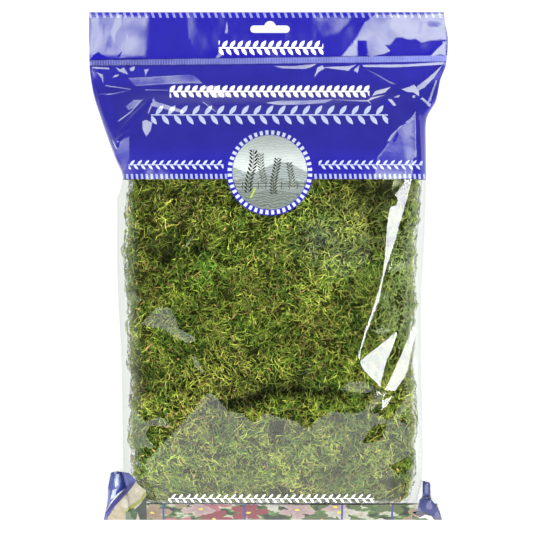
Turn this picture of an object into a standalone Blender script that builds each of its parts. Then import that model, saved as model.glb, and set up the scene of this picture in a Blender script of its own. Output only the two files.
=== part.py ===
"""A sealed pillow bag of preserved sheet moss, lying on its back.

The bag is a flattened tube of clear printed film. A ribbed weld closes it below a flat header
with a hanging slot, and a second weld closes the foot. Inside lie four folded sheets of moss.
Metres, +Z up. X runs across the bag, +Y towards the header, and the bag rests on z = 0.
"""

import math

import bmesh
import bpy
import numpy as np
from mathutils import Vector, noise

# Driving sizes of the bag
FLAT_WIDTH = 0.2892  # the tube pressed flat, as at the header
LENGTH = 0.409
FILLED_HEIGHT = 0.066  # over the moss
FILM = 0.0003
GAP = 0.0003  # between touching solids

# Stations along the bag, as y
TOP_EDGE = LENGTH / 2
FOOT_EDGE = -LENGTH / 2
WELD_FOOT = TOP_EDGE - 0.0420  # lower edge of the header's weld
LEFT_EAR_START = FOOT_EDGE + 0.0405  # where the corners of the foot start to stand out
RIGHT_EAR_START = FOOT_EDGE + 0.0325
EAR_STEP = 0.0020  # the length over which an ear comes out

# Hanging slot: a bar with round ends and a round bump on its upper side
SLOT_WIDTH = 0.0318
SLOT_BAR = 0.0060
SLOT_HEIGHT = 0.0096
SLOT_BUMP_RADIUS = 0.0047
SLOT_X = 0.0013
SLOT_Y = TOP_EDGE - 0.0137  # middle of the bar

# The tube's side edges seen from above, as (y, x). The bag is pulled in where the moss fills it.
LEFT_EDGE = (
    (TOP_EDGE, -FLAT_WIDTH / 2),
    (WELD_FOOT, -0.1440),
    (0.1420, -0.1414),
    (0.1180, -0.1341),
    (0.1020, -0.1285),
    (0.0850, -0.1220),
    (0.0710, -0.1166),
    (0.0610, -0.1188),
    (0.0520, -0.1212),
    (0.0130, -0.1212),
    (-0.0270, -0.1204),
    (-0.0680, -0.1180),
    (-0.1080, -0.1172),
    (LEFT_EAR_START, -0.1164),
    (-0.1830, -0.1138),
    (FOOT_EDGE, -0.1098),
)
RIGHT_EDGE = (
    (TOP_EDGE, 0.1415),
    (0.1960, 0.1424),
    (0.1820, FLAT_WIDTH / 2),
    (WELD_FOOT, 0.1430),
    (0.1500, 0.1384),
    (0.1340, 0.1351),
    (0.1180, 0.1270),
    (0.1090, 0.1262),
    (0.0710, 0.1263),
    (0.0130, 0.1246),
    (-0.0270, 0.1224),
    (-0.0680, 0.1222),
    (-0.1080, 0.1230),
    (-0.1640, 0.1238),
    (-0.1830, 0.1208),
    (FOOT_EDGE, 0.1158),
)
# How far the ears at the foot stand out past those edges
LEFT_EAR = (
    (LEFT_EAR_START, 0.0),
    (LEFT_EAR_START - EAR_STEP, 0.0112),
    (-0.1870, 0.0160),
    (FOOT_EDGE, 0.0228),
)
RIGHT_EAR = (
    (RIGHT_EAR_START, 0.0),
    (RIGHT_EAR_START - EAR_STEP, 0.0070),
    (-0.1810, 0.0090),
    (-0.1900, 0.0160),
    (FOOT_EDGE, 0.0242),
)
# Height of the back film, as (y, z). It lies on the surface and turns up at both welds.
UNDERSIDE = (
    (TOP_EDGE, FILM),
    (WELD_FOOT, 0.0050),
    (0.1250, FILM),
    (-0.1800, FILM),
    (-0.1960, 0.0010),
    (FOOT_EDGE, 0.0030),
)
# Height of the front film over the back film along the bag's middle line, as (y, height)
FILLED = (
    (WELD_FOOT, GAP),
    (0.1480, 0.0090),
    (0.1280, 0.0300),
    (0.1080, 0.0475),
    (0.0880, 0.0590),
    (0.0600, 0.0645),
    (0.0200, FILLED_HEIGHT - FILM),
    (-0.0900, FILLED_HEIGHT - FILM),
    (-0.1150, 0.0652),
    (-0.1260, 0.0642),
    (-0.1400, 0.0615),
    (-0.1570, 0.0562),
    (-0.1700, 0.0490),
    (-0.1820, 0.0375),
    (-0.1930, 0.0220),
    (-0.2000, 0.0095),
    (FOOT_EDGE, GAP),
)
UNDERSIDE_PRESS = 1.03  # over 1, so that the middle half of the back lies flat
FOLD_SHARE = 0.42  # the side edge's height between the back film and the front film
# How square the section is, as the exponent of a superellipse at each y
FULLNESS = (
    (WELD_FOOT, 2.0),
    (0.1100, 4.0),
    (0.0700, 6.0),
    (-0.1400, 6.0),
    (-0.1800, 4.0),
    (FOOT_EDGE, 2.6),
)
BEND_SHARE = 0.020  # length counted for each radian of bend, so that points gather at bends

# The moss
MOSS_INSET_LEFT = 0.0085  # from the tube's side edge
MOSS_INSET_RIGHT = 0.0070
MOSS_TOP_END = 0.1160
MOSS_FOOT_END = -0.1915
MOSS_CORNER = 0.0190
MOSS_CLEARANCE = 0.0004  # to the film where it lies flat
MOSS_TOP_CLEARANCE = 0.0008  # further, under the front film
MOSS_SIDE_CLEARANCE = 0.0042  # to the film's steep sides
MOSS_LUMP = 0.0018
SEAM_Y = -0.1010  # where the upper front sheet ends and the lower one starts
SHEET_SPLITS = (0.0, 0.34, 0.68, 1.0)  # shares of the pad's height
SHEET_GAP = 0.0010  # between one sheet and the next

CLEAR_FILM = ((0.86, 0.90, 0.88), 0.12)
MOSS_GREEN = ((0.13, 0.17, 0.04), 0.90)


def read_curve(points, y):
    """A smooth curve through (y, value) points, read at y and held flat beyond its ends."""
    pts = sorted(points)
    if y <= pts[0][0]:
        return pts[0][1]
    if y >= pts[-1][0]:
        return pts[-1][1]
    i = max(k for k in range(len(pts) - 1) if pts[k][0] <= y)
    (y0, v0), (y1, v1) = pts[i], pts[i + 1]
    step = v1 - v0
    before = (v0 - pts[i - 1][1]) / (y0 - pts[i - 1][0]) if i else step / (y1 - y0)
    after = (pts[i + 2][1] - v1) / (pts[i + 2][0] - y1) if i + 2 < len(pts) else step / (y1 - y0)
    here = step / (y1 - y0)
    start = 0.0 if before * here <= 0 else 2 * before * here / (before + here)
    end = 0.0 if after * here <= 0 else 2 * after * here / (after + here)
    t = (y - y0) / (y1 - y0)
    span = y1 - y0
    return (
        v0 * (2 * t**3 - 3 * t**2 + 1)
        + start * span * (t**3 - 2 * t**2 + t)
        + v1 * (3 * t**2 - 2 * t**3)
        + end * span * (t**3 - t**2)
    )


def section(y):
    """The tube's cross-section at y: its side edges, ears, crown, underside, fold and fullness."""
    under = read_curve(UNDERSIDE, y)
    filled = read_curve(FILLED, y)
    crown = under + filled
    fold = under + (FOLD_SHARE if filled > 2 * GAP else 0.5) * filled
    return {
        "left": read_curve(LEFT_EDGE, y),
        "right": read_curve(RIGHT_EDGE, y),
        "left_ear": read_curve(LEFT_EAR, y),
        "right_ear": read_curve(RIGHT_EAR, y),
        "crown": crown,
        "under": under,
        "fold": fold,
        "fullness": read_curve(FULLNESS, y),
    }


def film_height(cut, across, front):
    """Height of the front or back film, at across = -1 on the left side edge to 1 on the right."""
    bulge = (1 - min(1.0, abs(across)) ** cut["fullness"]) ** (1 / cut["fullness"])
    if front:
        foot = cut["fold"] + GAP / 2
        return foot + max(0.0, cut["crown"] - foot) * bulge
    foot = cut["fold"] - GAP / 2
    return foot - max(0.0, foot - cut["under"]) * min(1.0, UNDERSIDE_PRESS * bulge)


def section_line(y, front, columns):
    """Points across the film at y, closer together at its bends. The ears pull the two ends out."""
    cut = section(y)
    middle = (cut["left"] + cut["right"]) / 2
    half = (cut["right"] - cut["left"]) / 2
    turn = np.linspace(-math.pi / 2, math.pi / 2, 241)
    line = np.array([(middle + half * a, film_height(cut, a, front)) for a in np.sin(turn)])
    steps = np.diff(line, axis=0)
    bend = np.abs(np.diff(np.arctan2(steps[:, 1], steps[:, 0])))
    spaced = np.hypot(*steps.T) + BEND_SHARE * np.append(bend, 0.0)
    along = np.concatenate([[0.0], np.cumsum(spaced)])
    wanted = np.linspace(0.0, along[-1], columns + 1)
    xs = np.interp(wanted, along, line[:, 0])
    xs[0] -= cut["left_ear"]
    xs[-1] += cut["right_ear"]
    return [(x, y, z) for x, z in zip(xs, np.interp(wanted, along, line[:, 1]))]


def new_object(name, mesh, collection, finish=None):
    obj = bpy.data.objects.new(name, mesh)
    collection.objects.link(obj)
    if finish:
        colour, roughness = finish
        material = bpy.data.materials.get(name) or bpy.data.materials.new(name)
        material.use_nodes = True
        shader = material.node_tree.nodes["Principled BSDF"]
        shader.inputs["Base Color"].default_value = (*colour, 1.0)
        shader.inputs["Roughness"].default_value = roughness
        shader.inputs["Metallic"].default_value = 0.0
        obj.data.materials.append(material)
    return obj


def film_panel(name, front, rows, columns, collection):
    """One face of the bag: a loft through the sections, given the film's thickness."""
    bm = bmesh.new()
    grid = [[bm.verts.new(p) for p in section_line(y, front, columns)] for y in rows]
    for upper, lower in zip(grid, grid[1:]):
        for k in range(columns):
            corners = (upper[k], lower[k], lower[k + 1], upper[k + 1])
            bm.faces.new(corners if front else corners[::-1])
    mesh = bpy.data.meshes.new(name)
    bm.to_mesh(mesh)
    bm.free()
    mesh.shade_smooth()
    panel = new_object(name, mesh, collection, CLEAR_FILM)
    shell = panel.modifiers.new("film", "SOLIDIFY")
    shell.thickness = FILM
    shell.offset = 1.0
    return panel


def slot_cutter(collection):
    """The hanging slot's outline as a filled 2D curve, made deep enough to cut both films."""
    end = SLOT_BAR / 2
    reach = SLOT_WIDTH / 2 - end
    bump_y = SLOT_HEIGHT - end - SLOT_BUMP_RADIUS
    bump_start = math.acos((end - bump_y) / SLOT_BUMP_RADIUS)
    outline = [(-reach + end * math.cos(a), end * math.sin(a)) for a in np.linspace(math.pi / 2, math.pi * 1.5, 9)]
    outline += [(reach + end * math.cos(a), end * math.sin(a)) for a in np.linspace(-math.pi / 2, math.pi / 2, 9)]
    outline += [
        (SLOT_BUMP_RADIUS * math.sin(a), bump_y + SLOT_BUMP_RADIUS * math.cos(a))
        for a in np.linspace(bump_start, -bump_start, 13)
    ]
    curve = bpy.data.curves.new("slot_outline", "CURVE")
    curve.dimensions = "2D"
    curve.fill_mode = "BOTH"
    curve.extrude = 0.006
    spline = curve.splines.new("POLY")
    spline.points.add(len(outline) - 1)
    for point, (x, y) in zip(spline.points, outline):
        point.co = (x, y, 0.0, 1.0)
    spline.use_cyclic_u = True
    drawn = bpy.data.objects.new("slot_outline", curve)
    collection.objects.link(drawn)
    drawn.location = (SLOT_X, SLOT_Y, 0.0)
    bpy.context.view_layer.update()
    graph = bpy.context.evaluated_depsgraph_get()
    mesh = bpy.data.meshes.new_from_object(drawn.evaluated_get(graph))
    bm = bmesh.new()
    bm.from_mesh(mesh)
    bmesh.ops.remove_doubles(bm, verts=bm.verts, dist=0.00001)
    bmesh.ops.recalc_face_normals(bm, faces=bm.faces)
    bm.to_mesh(mesh)
    bm.free()
    cutter = new_object("slot_cutter", mesh, collection)
    cutter.matrix_world = drawn.matrix_world
    bpy.data.objects.remove(drawn)
    cutter.hide_render = True
    cutter.display_type = "WIRE"
    return cutter


def seam(x):
    """Where the two front sheets meet, a wavy line across the bag."""
    return SEAM_Y + 0.006 * math.sin(x / 0.034) + 0.003 * math.sin(x / 0.011 + 1.0)


def moss_point(a, b, c, low, high, y_from, y_to):
    """Takes a corner of the unit cube (a across, b along, c up) to its place in a sheet of moss."""
    y_mid = 0.5 * (y_from + y_to) + 0.5 * b * (y_to - y_from)
    ends = max(0.0, MOSS_CORNER - min(MOSS_TOP_END - y_mid, y_mid - MOSS_FOOT_END))
    pull = MOSS_CORNER - math.sqrt(max(0.0, MOSS_CORNER**2 - ends**2))
    cut = section(y_mid)
    left = cut["left"] + MOSS_INSET_LEFT + pull
    right = cut["right"] - MOSS_INSET_RIGHT - pull
    x = 0.5 * (left + right) + 0.5 * a * (right - left)
    y = y_mid
    if y_from == SEAM_Y:
        y += (seam(x) + GAP - SEAM_Y) * (1 - b) / 2
    if y_to == SEAM_Y:
        y += (seam(x) - GAP - SEAM_Y) * (1 + b) / 2
    cut = section(y)
    across = (2 * x - cut["left"] - cut["right"]) / (cut["right"] - cut["left"])
    clearance = MOSS_CLEARANCE + (MOSS_SIDE_CLEARANCE - MOSS_CLEARANCE) * across**4
    floor = film_height(cut, across, False) + clearance
    ceiling = film_height(cut, across, True) - clearance - MOSS_TOP_CLEARANCE
    share = low + (high - low) * (c + 1) / 2
    z = floor + share * (ceiling - floor)
    z += SHEET_GAP * (low > 0) * (1 - c) / 2
    lump = MOSS_LUMP * abs(noise.noise(Vector((x, y, z)) / 0.016))
    if high == 1.0 and c == 1:
        z -= lump
    return x - a * lump * (abs(a) == 1), y, z


def moss_sheet(name, low, high, y_from, y_to, rows, collection):
    """A folded sheet of moss: a block cut into a grid, whose points move to the sheet's form."""
    bm = bmesh.new()
    bmesh.ops.create_cube(bm, size=2.0)
    for axis, cuts in ((0, 12), (1, rows), (2, 1)):
        edges = [e for e in bm.edges if abs(e.verts[0].co[axis] - e.verts[1].co[axis]) > 1.0]
        bmesh.ops.subdivide_edges(bm, edges=edges, cuts=cuts, use_grid_fill=True)
    for vert in bm.verts:
        vert.co = moss_point(*vert.co, low, high, y_from, y_to)
    bmesh.ops.recalc_face_normals(bm, faces=bm.faces)
    mesh = bpy.data.meshes.new(name)
    bm.to_mesh(mesh)
    bm.free()
    mesh.shade_smooth()
    return new_object(name, mesh, collection, MOSS_GREEN)


def stations(*zones):
    """y values down the bag, as (from, to, steps) zones end to end."""
    rows = [zones[0][0]]
    for start, stop, steps in zones:
        rows += list(np.linspace(start, stop, steps + 1)[1:])
    return rows


def main():
    for obj in list(bpy.data.objects):
        bpy.data.objects.remove(obj)
    bag = bpy.data.collections.new("bagged_sheet_moss")
    cutters = bpy.data.collections.new("cutters")
    bpy.context.scene.collection.children.link(bag)
    bpy.context.scene.collection.children.link(cutters)

    left_step = LEFT_EAR_START - EAR_STEP
    right_step = RIGHT_EAR_START - EAR_STEP
    foot_rows = ((-0.1400, LEFT_EAR_START, 2), (LEFT_EAR_START, left_step, 1))
    foot_rows += ((left_step, RIGHT_EAR_START, 1), (RIGHT_EAR_START, right_step, 1))
    foot_rows += ((right_step, FOOT_EDGE, 5),)
    neck_rows = ((TOP_EDGE, WELD_FOOT, 2), (WELD_FOOT, 0.0850, 7), (0.0850, 0.0500, 5))
    front_rows = stations(*neck_rows, (0.0500, -0.1400, 9), *foot_rows)
    back_rows = stations(*neck_rows, (0.0500, -0.1400, 6), *foot_rows)
    cutter = slot_cutter(cutters)
    for name, front, rows, columns in (
        ("bag_front_film", True, front_rows, 30),
        ("bag_back_film", False, back_rows, 30),
    ):
        panel = film_panel(name, front, rows, columns, bag)
        cut = panel.modifiers.new("hanging slot", "BOOLEAN")
        cut.operation = "DIFFERENCE"
        cut.object = cutter

    back, middle, front_low, front_high = SHEET_SPLITS
    moss_sheet("moss_sheet_back", back, middle, MOSS_FOOT_END, MOSS_TOP_END, 20, bag)
    moss_sheet("moss_sheet_middle", middle, front_low, MOSS_FOOT_END, MOSS_TOP_END, 20, bag)
    moss_sheet("moss_sheet_front_upper", front_low, front_high, SEAM_Y, MOSS_TOP_END, 14, bag)
    moss_sheet("moss_sheet_front_lower", front_low, front_high, MOSS_FOOT_END, SEAM_Y, 5, bag)


main()
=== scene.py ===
"""A clear printed pillow bag of preserved sheet moss, lying on its back, seen from straight above."""

import math

import bpy
import numpy as np
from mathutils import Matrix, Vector, geometry


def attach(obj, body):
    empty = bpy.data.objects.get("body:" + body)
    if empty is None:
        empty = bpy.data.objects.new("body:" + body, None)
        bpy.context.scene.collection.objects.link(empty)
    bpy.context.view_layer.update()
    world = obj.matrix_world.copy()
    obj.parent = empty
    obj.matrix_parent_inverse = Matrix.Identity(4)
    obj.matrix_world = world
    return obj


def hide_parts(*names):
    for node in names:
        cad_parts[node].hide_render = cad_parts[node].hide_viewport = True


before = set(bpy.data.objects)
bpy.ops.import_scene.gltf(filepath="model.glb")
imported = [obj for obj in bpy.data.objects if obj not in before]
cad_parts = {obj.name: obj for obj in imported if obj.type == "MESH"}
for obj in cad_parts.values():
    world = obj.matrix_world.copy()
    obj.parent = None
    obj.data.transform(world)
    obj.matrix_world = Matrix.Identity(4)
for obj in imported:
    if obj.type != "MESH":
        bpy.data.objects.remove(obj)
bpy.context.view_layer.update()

luck = np.random.default_rng(11)

# The bag's form, which the moss inside has to keep to. The tube of film is pulled in where the moss
# fills it, and its cross-section is a squared oval. All sizes are metres, and each list runs along y.
FLAT_WIDTH = 0.2892
TOP_EDGE = 0.2045
FOOT_EDGE = -0.2045
WELD_FOOT = 0.1625
FILM_GAP = 0.0003
LEFT_EAR_START = -0.1640
RIGHT_EAR_START = -0.1720
EAR_STEP = 0.0020
LEFT_EDGE = (
    (TOP_EDGE, -FLAT_WIDTH / 2),
    (WELD_FOOT, -0.1440),
    (0.1420, -0.1414),
    (0.1180, -0.1341),
    (0.1020, -0.1285),
    (0.0850, -0.1220),
    (0.0710, -0.1166),
    (0.0610, -0.1188),
    (0.0520, -0.1212),
    (0.0130, -0.1212),
    (-0.0270, -0.1204),
    (-0.0680, -0.1180),
    (-0.1080, -0.1172),
    (LEFT_EAR_START, -0.1164),
    (-0.1830, -0.1138),
    (FOOT_EDGE, -0.1098),
)
RIGHT_EDGE = (
    (TOP_EDGE, 0.1415),
    (0.1960, 0.1424),
    (0.1820, FLAT_WIDTH / 2),
    (WELD_FOOT, 0.1430),
    (0.1500, 0.1384),
    (0.1340, 0.1351),
    (0.1180, 0.1270),
    (0.1090, 0.1262),
    (0.0710, 0.1263),
    (0.0130, 0.1246),
    (-0.0270, 0.1224),
    (-0.0680, 0.1222),
    (-0.1080, 0.1230),
    (-0.1640, 0.1238),
    (-0.1830, 0.1208),
    (FOOT_EDGE, 0.1158),
)
LEFT_EAR = (
    (LEFT_EAR_START, 0.0),
    (LEFT_EAR_START - EAR_STEP, 0.0112),
    (-0.1870, 0.0160),
    (FOOT_EDGE, 0.0228),
)
RIGHT_EAR = (
    (RIGHT_EAR_START, 0.0),
    (RIGHT_EAR_START - EAR_STEP, 0.0070),
    (-0.1810, 0.0090),
    (-0.1900, 0.0160),
    (FOOT_EDGE, 0.0242),
)
UNDERSIDE = (
    (TOP_EDGE, 0.0003),
    (WELD_FOOT, 0.0050),
    (0.1250, 0.0003),
    (-0.1800, 0.0003),
    (-0.1960, 0.0010),
    (FOOT_EDGE, 0.0030),
)
FILLED = (
    (WELD_FOOT, FILM_GAP),
    (0.1480, 0.0090),
    (0.1280, 0.0300),
    (0.1080, 0.0475),
    (0.0880, 0.0590),
    (0.0600, 0.0645),
    (0.0200, 0.0657),
    (-0.0900, 0.0657),
    (-0.1150, 0.0652),
    (-0.1260, 0.0642),
    (-0.1400, 0.0615),
    (-0.1570, 0.0562),
    (-0.1700, 0.0490),
    (-0.1820, 0.0375),
    (-0.1930, 0.0220),
    (-0.2000, 0.0095),
    (FOOT_EDGE, FILM_GAP),
)
UNDERSIDE_PRESS = 1.03
FOLD_SHARE = 0.42
ON_FOLD = 0.9999
FULLNESS = (
    (WELD_FOOT, 2.0),
    (0.1100, 4.0),
    (0.0700, 6.0),
    (-0.1400, 6.0),
    (-0.1800, 4.0),
    (FOOT_EDGE, 2.6),
)


def along_bag(points, y):
    """Reads a smooth curve through (y, value) points at an array of y."""
    ys, values = np.array(sorted(points)).T
    span = np.diff(ys)
    slope = np.diff(values) / span
    before = np.append(slope[0], slope)
    after = np.append(slope, slope[-1])
    same = before * after > 0
    tangent = np.where(same, 2 * before * after / np.where(same, before + after, 1.0), 0.0)
    y = np.clip(y, ys[0], ys[-1])
    i = np.clip(np.searchsorted(ys, y, side="right") - 1, 0, len(span) - 1)
    t = (y - ys[i]) / span[i]
    return (
        values[i] * (2 * t**3 - 3 * t**2 + 1)
        + tangent[i] * span[i] * (t**3 - 2 * t**2 + t)
        + values[i + 1] * (3 * t**2 - 2 * t**3)
        + tangent[i + 1] * span[i] * (t**3 - t**2)
    )


def film_height(x, y, front=True):
    """Height of the smooth front or back film over the points x, y."""
    left = along_bag(LEFT_EDGE, y)
    right = along_bag(RIGHT_EDGE, y)
    across = np.abs((2 * x - left - right) / (right - left))
    across = np.where(across > ON_FOLD, 1.0, across)
    full = along_bag(FULLNESS, y)
    bulge = (1 - across**full) ** (1 / full)
    under = along_bag(UNDERSIDE, y)
    filled = along_bag(FILLED, y)
    fold = under + np.where(filled > 2 * FILM_GAP, FOLD_SHARE, 0.5) * filled
    if front:
        foot = fold + FILM_GAP / 2
        return foot + np.maximum(0.0, under + filled - foot) * bulge
    foot = fold - FILM_GAP / 2
    return foot - np.maximum(0.0, foot - under) * np.minimum(1.0, UNDERSIDE_PRESS * bulge)


# Preserved sheet moss: sheets peeled off the ground, dyed green and folded into the bag in layers.
# Under each sheet's strands lies a dark felt of older growth, made here as one rough closed slab.
# Its near-black colour is partly the old growth's own and partly painted shade for the gaps between the
# strands.
MOSS_INSET_LEFT = 0.0070
MOSS_INSET_RIGHT = 0.0062
MOSS_TOP_END = 0.1160
MOSS_FOOT_END = -0.1920
MOSS_CORNER = 0.0125
SEAM_Y = -0.1010
SEAM_DEPTH = 0.008
SEAM_HALF_LENGTH = 0.055
SEAM_HALF_WIDTH = 0.0035
HOLLOW_TEAR = 0.0022
MOSS_SPLITS = (0.0, 0.34, 0.68, 1.0)
RAGGED = 0.0010
STRAND_CLEARANCE = 0.0007
HOLLOWS = (  # x, y, half width, half height, depth of the dark hollows between tufts
    (0.094, 0.061, 0.014, 0.007, 0.008),
    (0.083, 0.034, 0.005, 0.012, 0.005),
    (-0.094, 0.012, 0.005, 0.006, 0.007),
    (-0.083, 0.007, 0.004, 0.005, 0.008),
    (-0.056, 0.010, 0.004, 0.005, 0.006),
    (-0.074, 0.042, 0.005, 0.003, 0.005),
    (-0.098, 0.030, 0.004, 0.004, 0.004),
    (0.100, 0.018, 0.009, 0.004, 0.005),
    (0.104, -0.034, 0.005, 0.009, 0.004),
    (-0.104, -0.086, 0.005, 0.008, 0.004),
    (0.006, -0.129, 0.006, 0.006, 0.006),
    (-0.014, -0.176, 0.004, 0.003, 0.004),
    (0.053, -0.170, 0.005, 0.005, 0.005),
    (0.093, -0.176, 0.004, 0.006, 0.004),
    (0.069, -0.143, 0.005, 0.003, 0.005),
)
CREVICES = (  # how many, lowest y, least and most half width, half height and depth
    (130, -0.125, (0.0010, 0.0038), (0.0010, 0.0028), (0.0020, 0.0055)),
    (60, 0.014, (0.0015, 0.0045), (0.0012, 0.0034), (0.0030, 0.0070)),
)
CREVICES_ACROSS = (-0.112, 0.118)
CREVICES_TOP = 0.070
gap_luck = np.random.default_rng(71)
crevices = []
for number, lowest, wide, tall, deep in CREVICES:
    limits = (CREVICES_ACROSS, (lowest, CREVICES_TOP), wide, tall, deep)
    gaps = [gap_luck.uniform(least, most, number) for least, most in limits]
    crevices += list(zip(*gaps))


def seam(x):
    """Where the upper front sheet ends over the lower one."""
    return SEAM_Y + 0.006 * np.sin(x / 0.034) + 0.003 * np.sin(x / 0.011 + 1.0)


def pad_limits(y):
    """The pad of moss from side to side at y, with its rounded corners and ragged sides."""
    ends = np.maximum(0.0, MOSS_CORNER - np.minimum(MOSS_TOP_END - y, y - MOSS_FOOT_END))
    pull = MOSS_CORNER - np.sqrt(np.maximum(0.0, MOSS_CORNER**2 - ends**2))
    ragged_left = np.sin(y / 0.0113 + 3.9) + 0.7 * np.sin(y / 0.0047 + 2.0) + 0.5 * np.sin(y / 0.0024)
    ragged_right = np.sin(y / 0.0137 + 0.6) + 0.7 * np.sin(y / 0.0052 + 4.0) + 0.5 * np.sin(y / 0.0021)
    left = along_bag(LEFT_EDGE, y) + MOSS_INSET_LEFT + pull + RAGGED * ragged_left
    right = along_bag(RIGHT_EDGE, y) - MOSS_INSET_RIGHT - pull - RAGGED * ragged_right
    return left, right


def pad_height(x, y, share):
    """Height inside the pad, at a share from its underside to its top."""
    low = film_height(x, y, False) + STRAND_CLEARANCE
    high = film_height(x, y, True) - STRAND_CLEARANCE
    return low + share * (high - low)


def waves(points, size, seed):
    """Soft noise, mostly from -1 to 1: sine waves in many directions, at an array of points."""
    chance = np.random.default_rng(seed)
    ways = chance.normal(0.0, 1.0, (16, points.shape[-1])) * 2.2 / size
    starts = chance.uniform(0.0, 2 * math.pi, 16)
    return np.sin(points @ ways.T + starts).sum(-1) / 2.8


def hollow_depth(x, y):
    """How far the top of the pad falls into its dark hollows and along the sheets' edge."""
    depth = np.zeros_like(x)
    points = np.stack([x, y], -1)
    torn_x = x + HOLLOW_TEAR * waves(points, 0.008, 61)
    torn_y = y + HOLLOW_TEAR * waves(points, 0.008, 62)
    for hx, hy, wide, tall, deep in (*HOLLOWS, *crevices):
        reach = ((torn_x - hx) / wide) ** 2 + ((torn_y - hy) / tall) ** 2
        depth = np.maximum(depth, deep * np.exp(-reach))
    edge = np.abs(y - seam(x) + 0.002)
    near_middle = np.exp(-((x / SEAM_HALF_LENGTH) ** 4))
    return np.maximum(depth, SEAM_DEPTH * near_middle * np.exp(-((edge / SEAM_HALF_WIDTH) ** 2)))


def squared(value):
    """Turns a sine or cosine into a coordinate of a squared oval."""
    return np.sign(value) * np.abs(value) ** (1 / 3)


PAD_END_ROUND = 0.022


def end_thinning(y):
    """The pad's thickness near its two ends, as a share of its full thickness."""
    to_end = np.minimum(y - MOSS_FOOT_END, MOSS_TOP_END - y)
    return np.sqrt(1 - np.clip(1 - to_end / PAD_END_ROUND, 0.0, 1.0) ** 2)


# The pad's skin, as rows of points round it at even spacing, each with its direction out of the pad
SKIN_ROWS = 130
SKIN_POINTS = 300
skin_y = np.linspace(MOSS_FOOT_END, MOSS_TOP_END, SKIN_ROWS)
skin = np.empty((SKIN_ROWS, SKIN_POINTS + 1, 3))
girth = np.empty(SKIN_ROWS)
turn = np.linspace(0.0, 2 * math.pi, 1441)
for row, y in enumerate(skin_y):
    left, right = pad_limits(y)
    ring_x = (left + right) / 2 + (right - left) / 2 * squared(np.cos(turn))
    low = pad_height(ring_x, y, 0.0)
    high = pad_height(ring_x, y, 1.0)
    ring_z = (low + high) / 2 + (high - low) / 2 * squared(np.sin(turn)) * end_thinning(y)
    run = np.append(0.0, np.cumsum(np.hypot(np.diff(ring_x), np.diff(ring_z))))
    even = np.linspace(0.0, run[-1], SKIN_POINTS + 1)
    even_x, even_z = np.interp(even, run, ring_x), np.interp(even, run, ring_z)
    skin[row] = np.stack([even_x, np.full_like(even, y), even_z], -1)
    girth[row] = run[-1]
outward = np.cross(np.gradient(skin, axis=0), np.gradient(skin, axis=1))
skin_area = np.linalg.norm(outward, axis=-1)
outward /= skin_area[..., None] + 1e-12


def on_skin(share, y):
    """Points on the pad's skin at a share round it and a y, and the direction outward there."""
    row = np.clip((y - skin_y[0]) / (skin_y[1] - skin_y[0]), 0, SKIN_ROWS - 1.001)
    column = (share % 1.0) * SKIN_POINTS
    r, c = row.astype(int), column.astype(int)
    fr, fc = (row - r)[..., None], (column - c)[..., None]
    found = []
    for table in (skin, outward):
        near = table[r, c] * (1 - fc) + table[r, c + 1] * fc
        far = table[r + 1, c] * (1 - fc) + table[r + 1, c + 1] * fc
        found.append(near * (1 - fr) + far * fr)
    return found


def srgb(*levels):
    """A colour read off as 0 to 255 levels, as the shader's linear values."""
    return tuple(((v / 255 + 0.055) / 1.055) ** 2.4 if v > 10 else v / 255 / 12.92 for v in levels)


def step(tree, kind, *values, **settings):
    """Adds a node and fills its inputs in order, from sockets or plain values."""
    node = tree.nodes.new(kind)
    for name, value in settings.items():
        setattr(node, name, value)
    for socket, value in zip(node.inputs, values):
        if isinstance(value, bpy.types.NodeSocket):
            tree.links.new(value, socket)
        elif value is not None:
            socket.default_value = value
    return node


def tint(tree, factor, under, over, blend="MIX"):
    """Lays one colour over another by a factor. A colour is a socket or an (r, g, b) tuple."""
    node = tree.nodes.new("ShaderNodeMix")
    node.data_type = "RGBA"
    node.blend_type = blend
    for name, value in (("Factor_Float", factor), ("A_Color", under), ("B_Color", over)):
        socket = next(s for s in node.inputs if s.identifier == name)
        if isinstance(value, bpy.types.NodeSocket):
            tree.links.new(value, socket)
        elif isinstance(value, tuple):
            socket.default_value = (*value, 1.0)
        else:
            socket.default_value = value
    return next(s for s in node.outputs if s.identifier == "Result_Color")


def new_material(name):
    """A material with its Principled shader, its tree and its output node."""
    material = bpy.data.materials.new(name)
    material.use_nodes = True
    tree = material.node_tree
    return material, tree, tree.nodes["Principled BSDF"], tree.nodes["Material Output"]


moss_felt, tree, shader, output = new_material("moss_felt")
place_in = tree.nodes.new("ShaderNodeTexCoord").outputs["Object"]
patches = step(tree, "ShaderNodeTexNoise", place_in, None, 90.0, 8.0)
fibres = step(tree, "ShaderNodeTexNoise", place_in, None, 900.0, 4.0)
# The felt's near-black green-brown: partly the old growth's own colour, partly painted shade for the gaps
# between strands
brown = tint(tree, patches.outputs["Fac"], srgb(36, 46, 6), srgb(62, 56, 18))
felt_and_shade_colour = tint(tree, fibres.outputs["Fac"], srgb(22, 30, 3), brown)
tree.links.new(felt_and_shade_colour, shader.inputs["Base Color"])
shader.inputs["Roughness"].default_value = 0.95
shader.inputs["Specular IOR Level"].default_value = 0.1
bump = step(tree, "ShaderNodeBump", None, None)
bump.inputs["Strength"].default_value = 0.8
bump.inputs["Distance"].default_value = 0.0012
tree.links.new(fibres.outputs["Fac"], bump.inputs["Height"])
tree.links.new(bump.outputs["Normal"], shader.inputs["Normal"])

FELT_DEPTH = 0.0045
FELT_END_ROUND = 0.010
FELT_ROUGH = ((0.011, 5, 0.0011), (0.0035, 6, 0.0006))  # size, seed and height of its lumps
FELT_ROWS = 84
FELT_POINTS = 132
LAYER_GAP = 0.001
felt_turn = np.linspace(0.0, 2 * math.pi, FELT_POINTS, endpoint=False)


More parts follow.
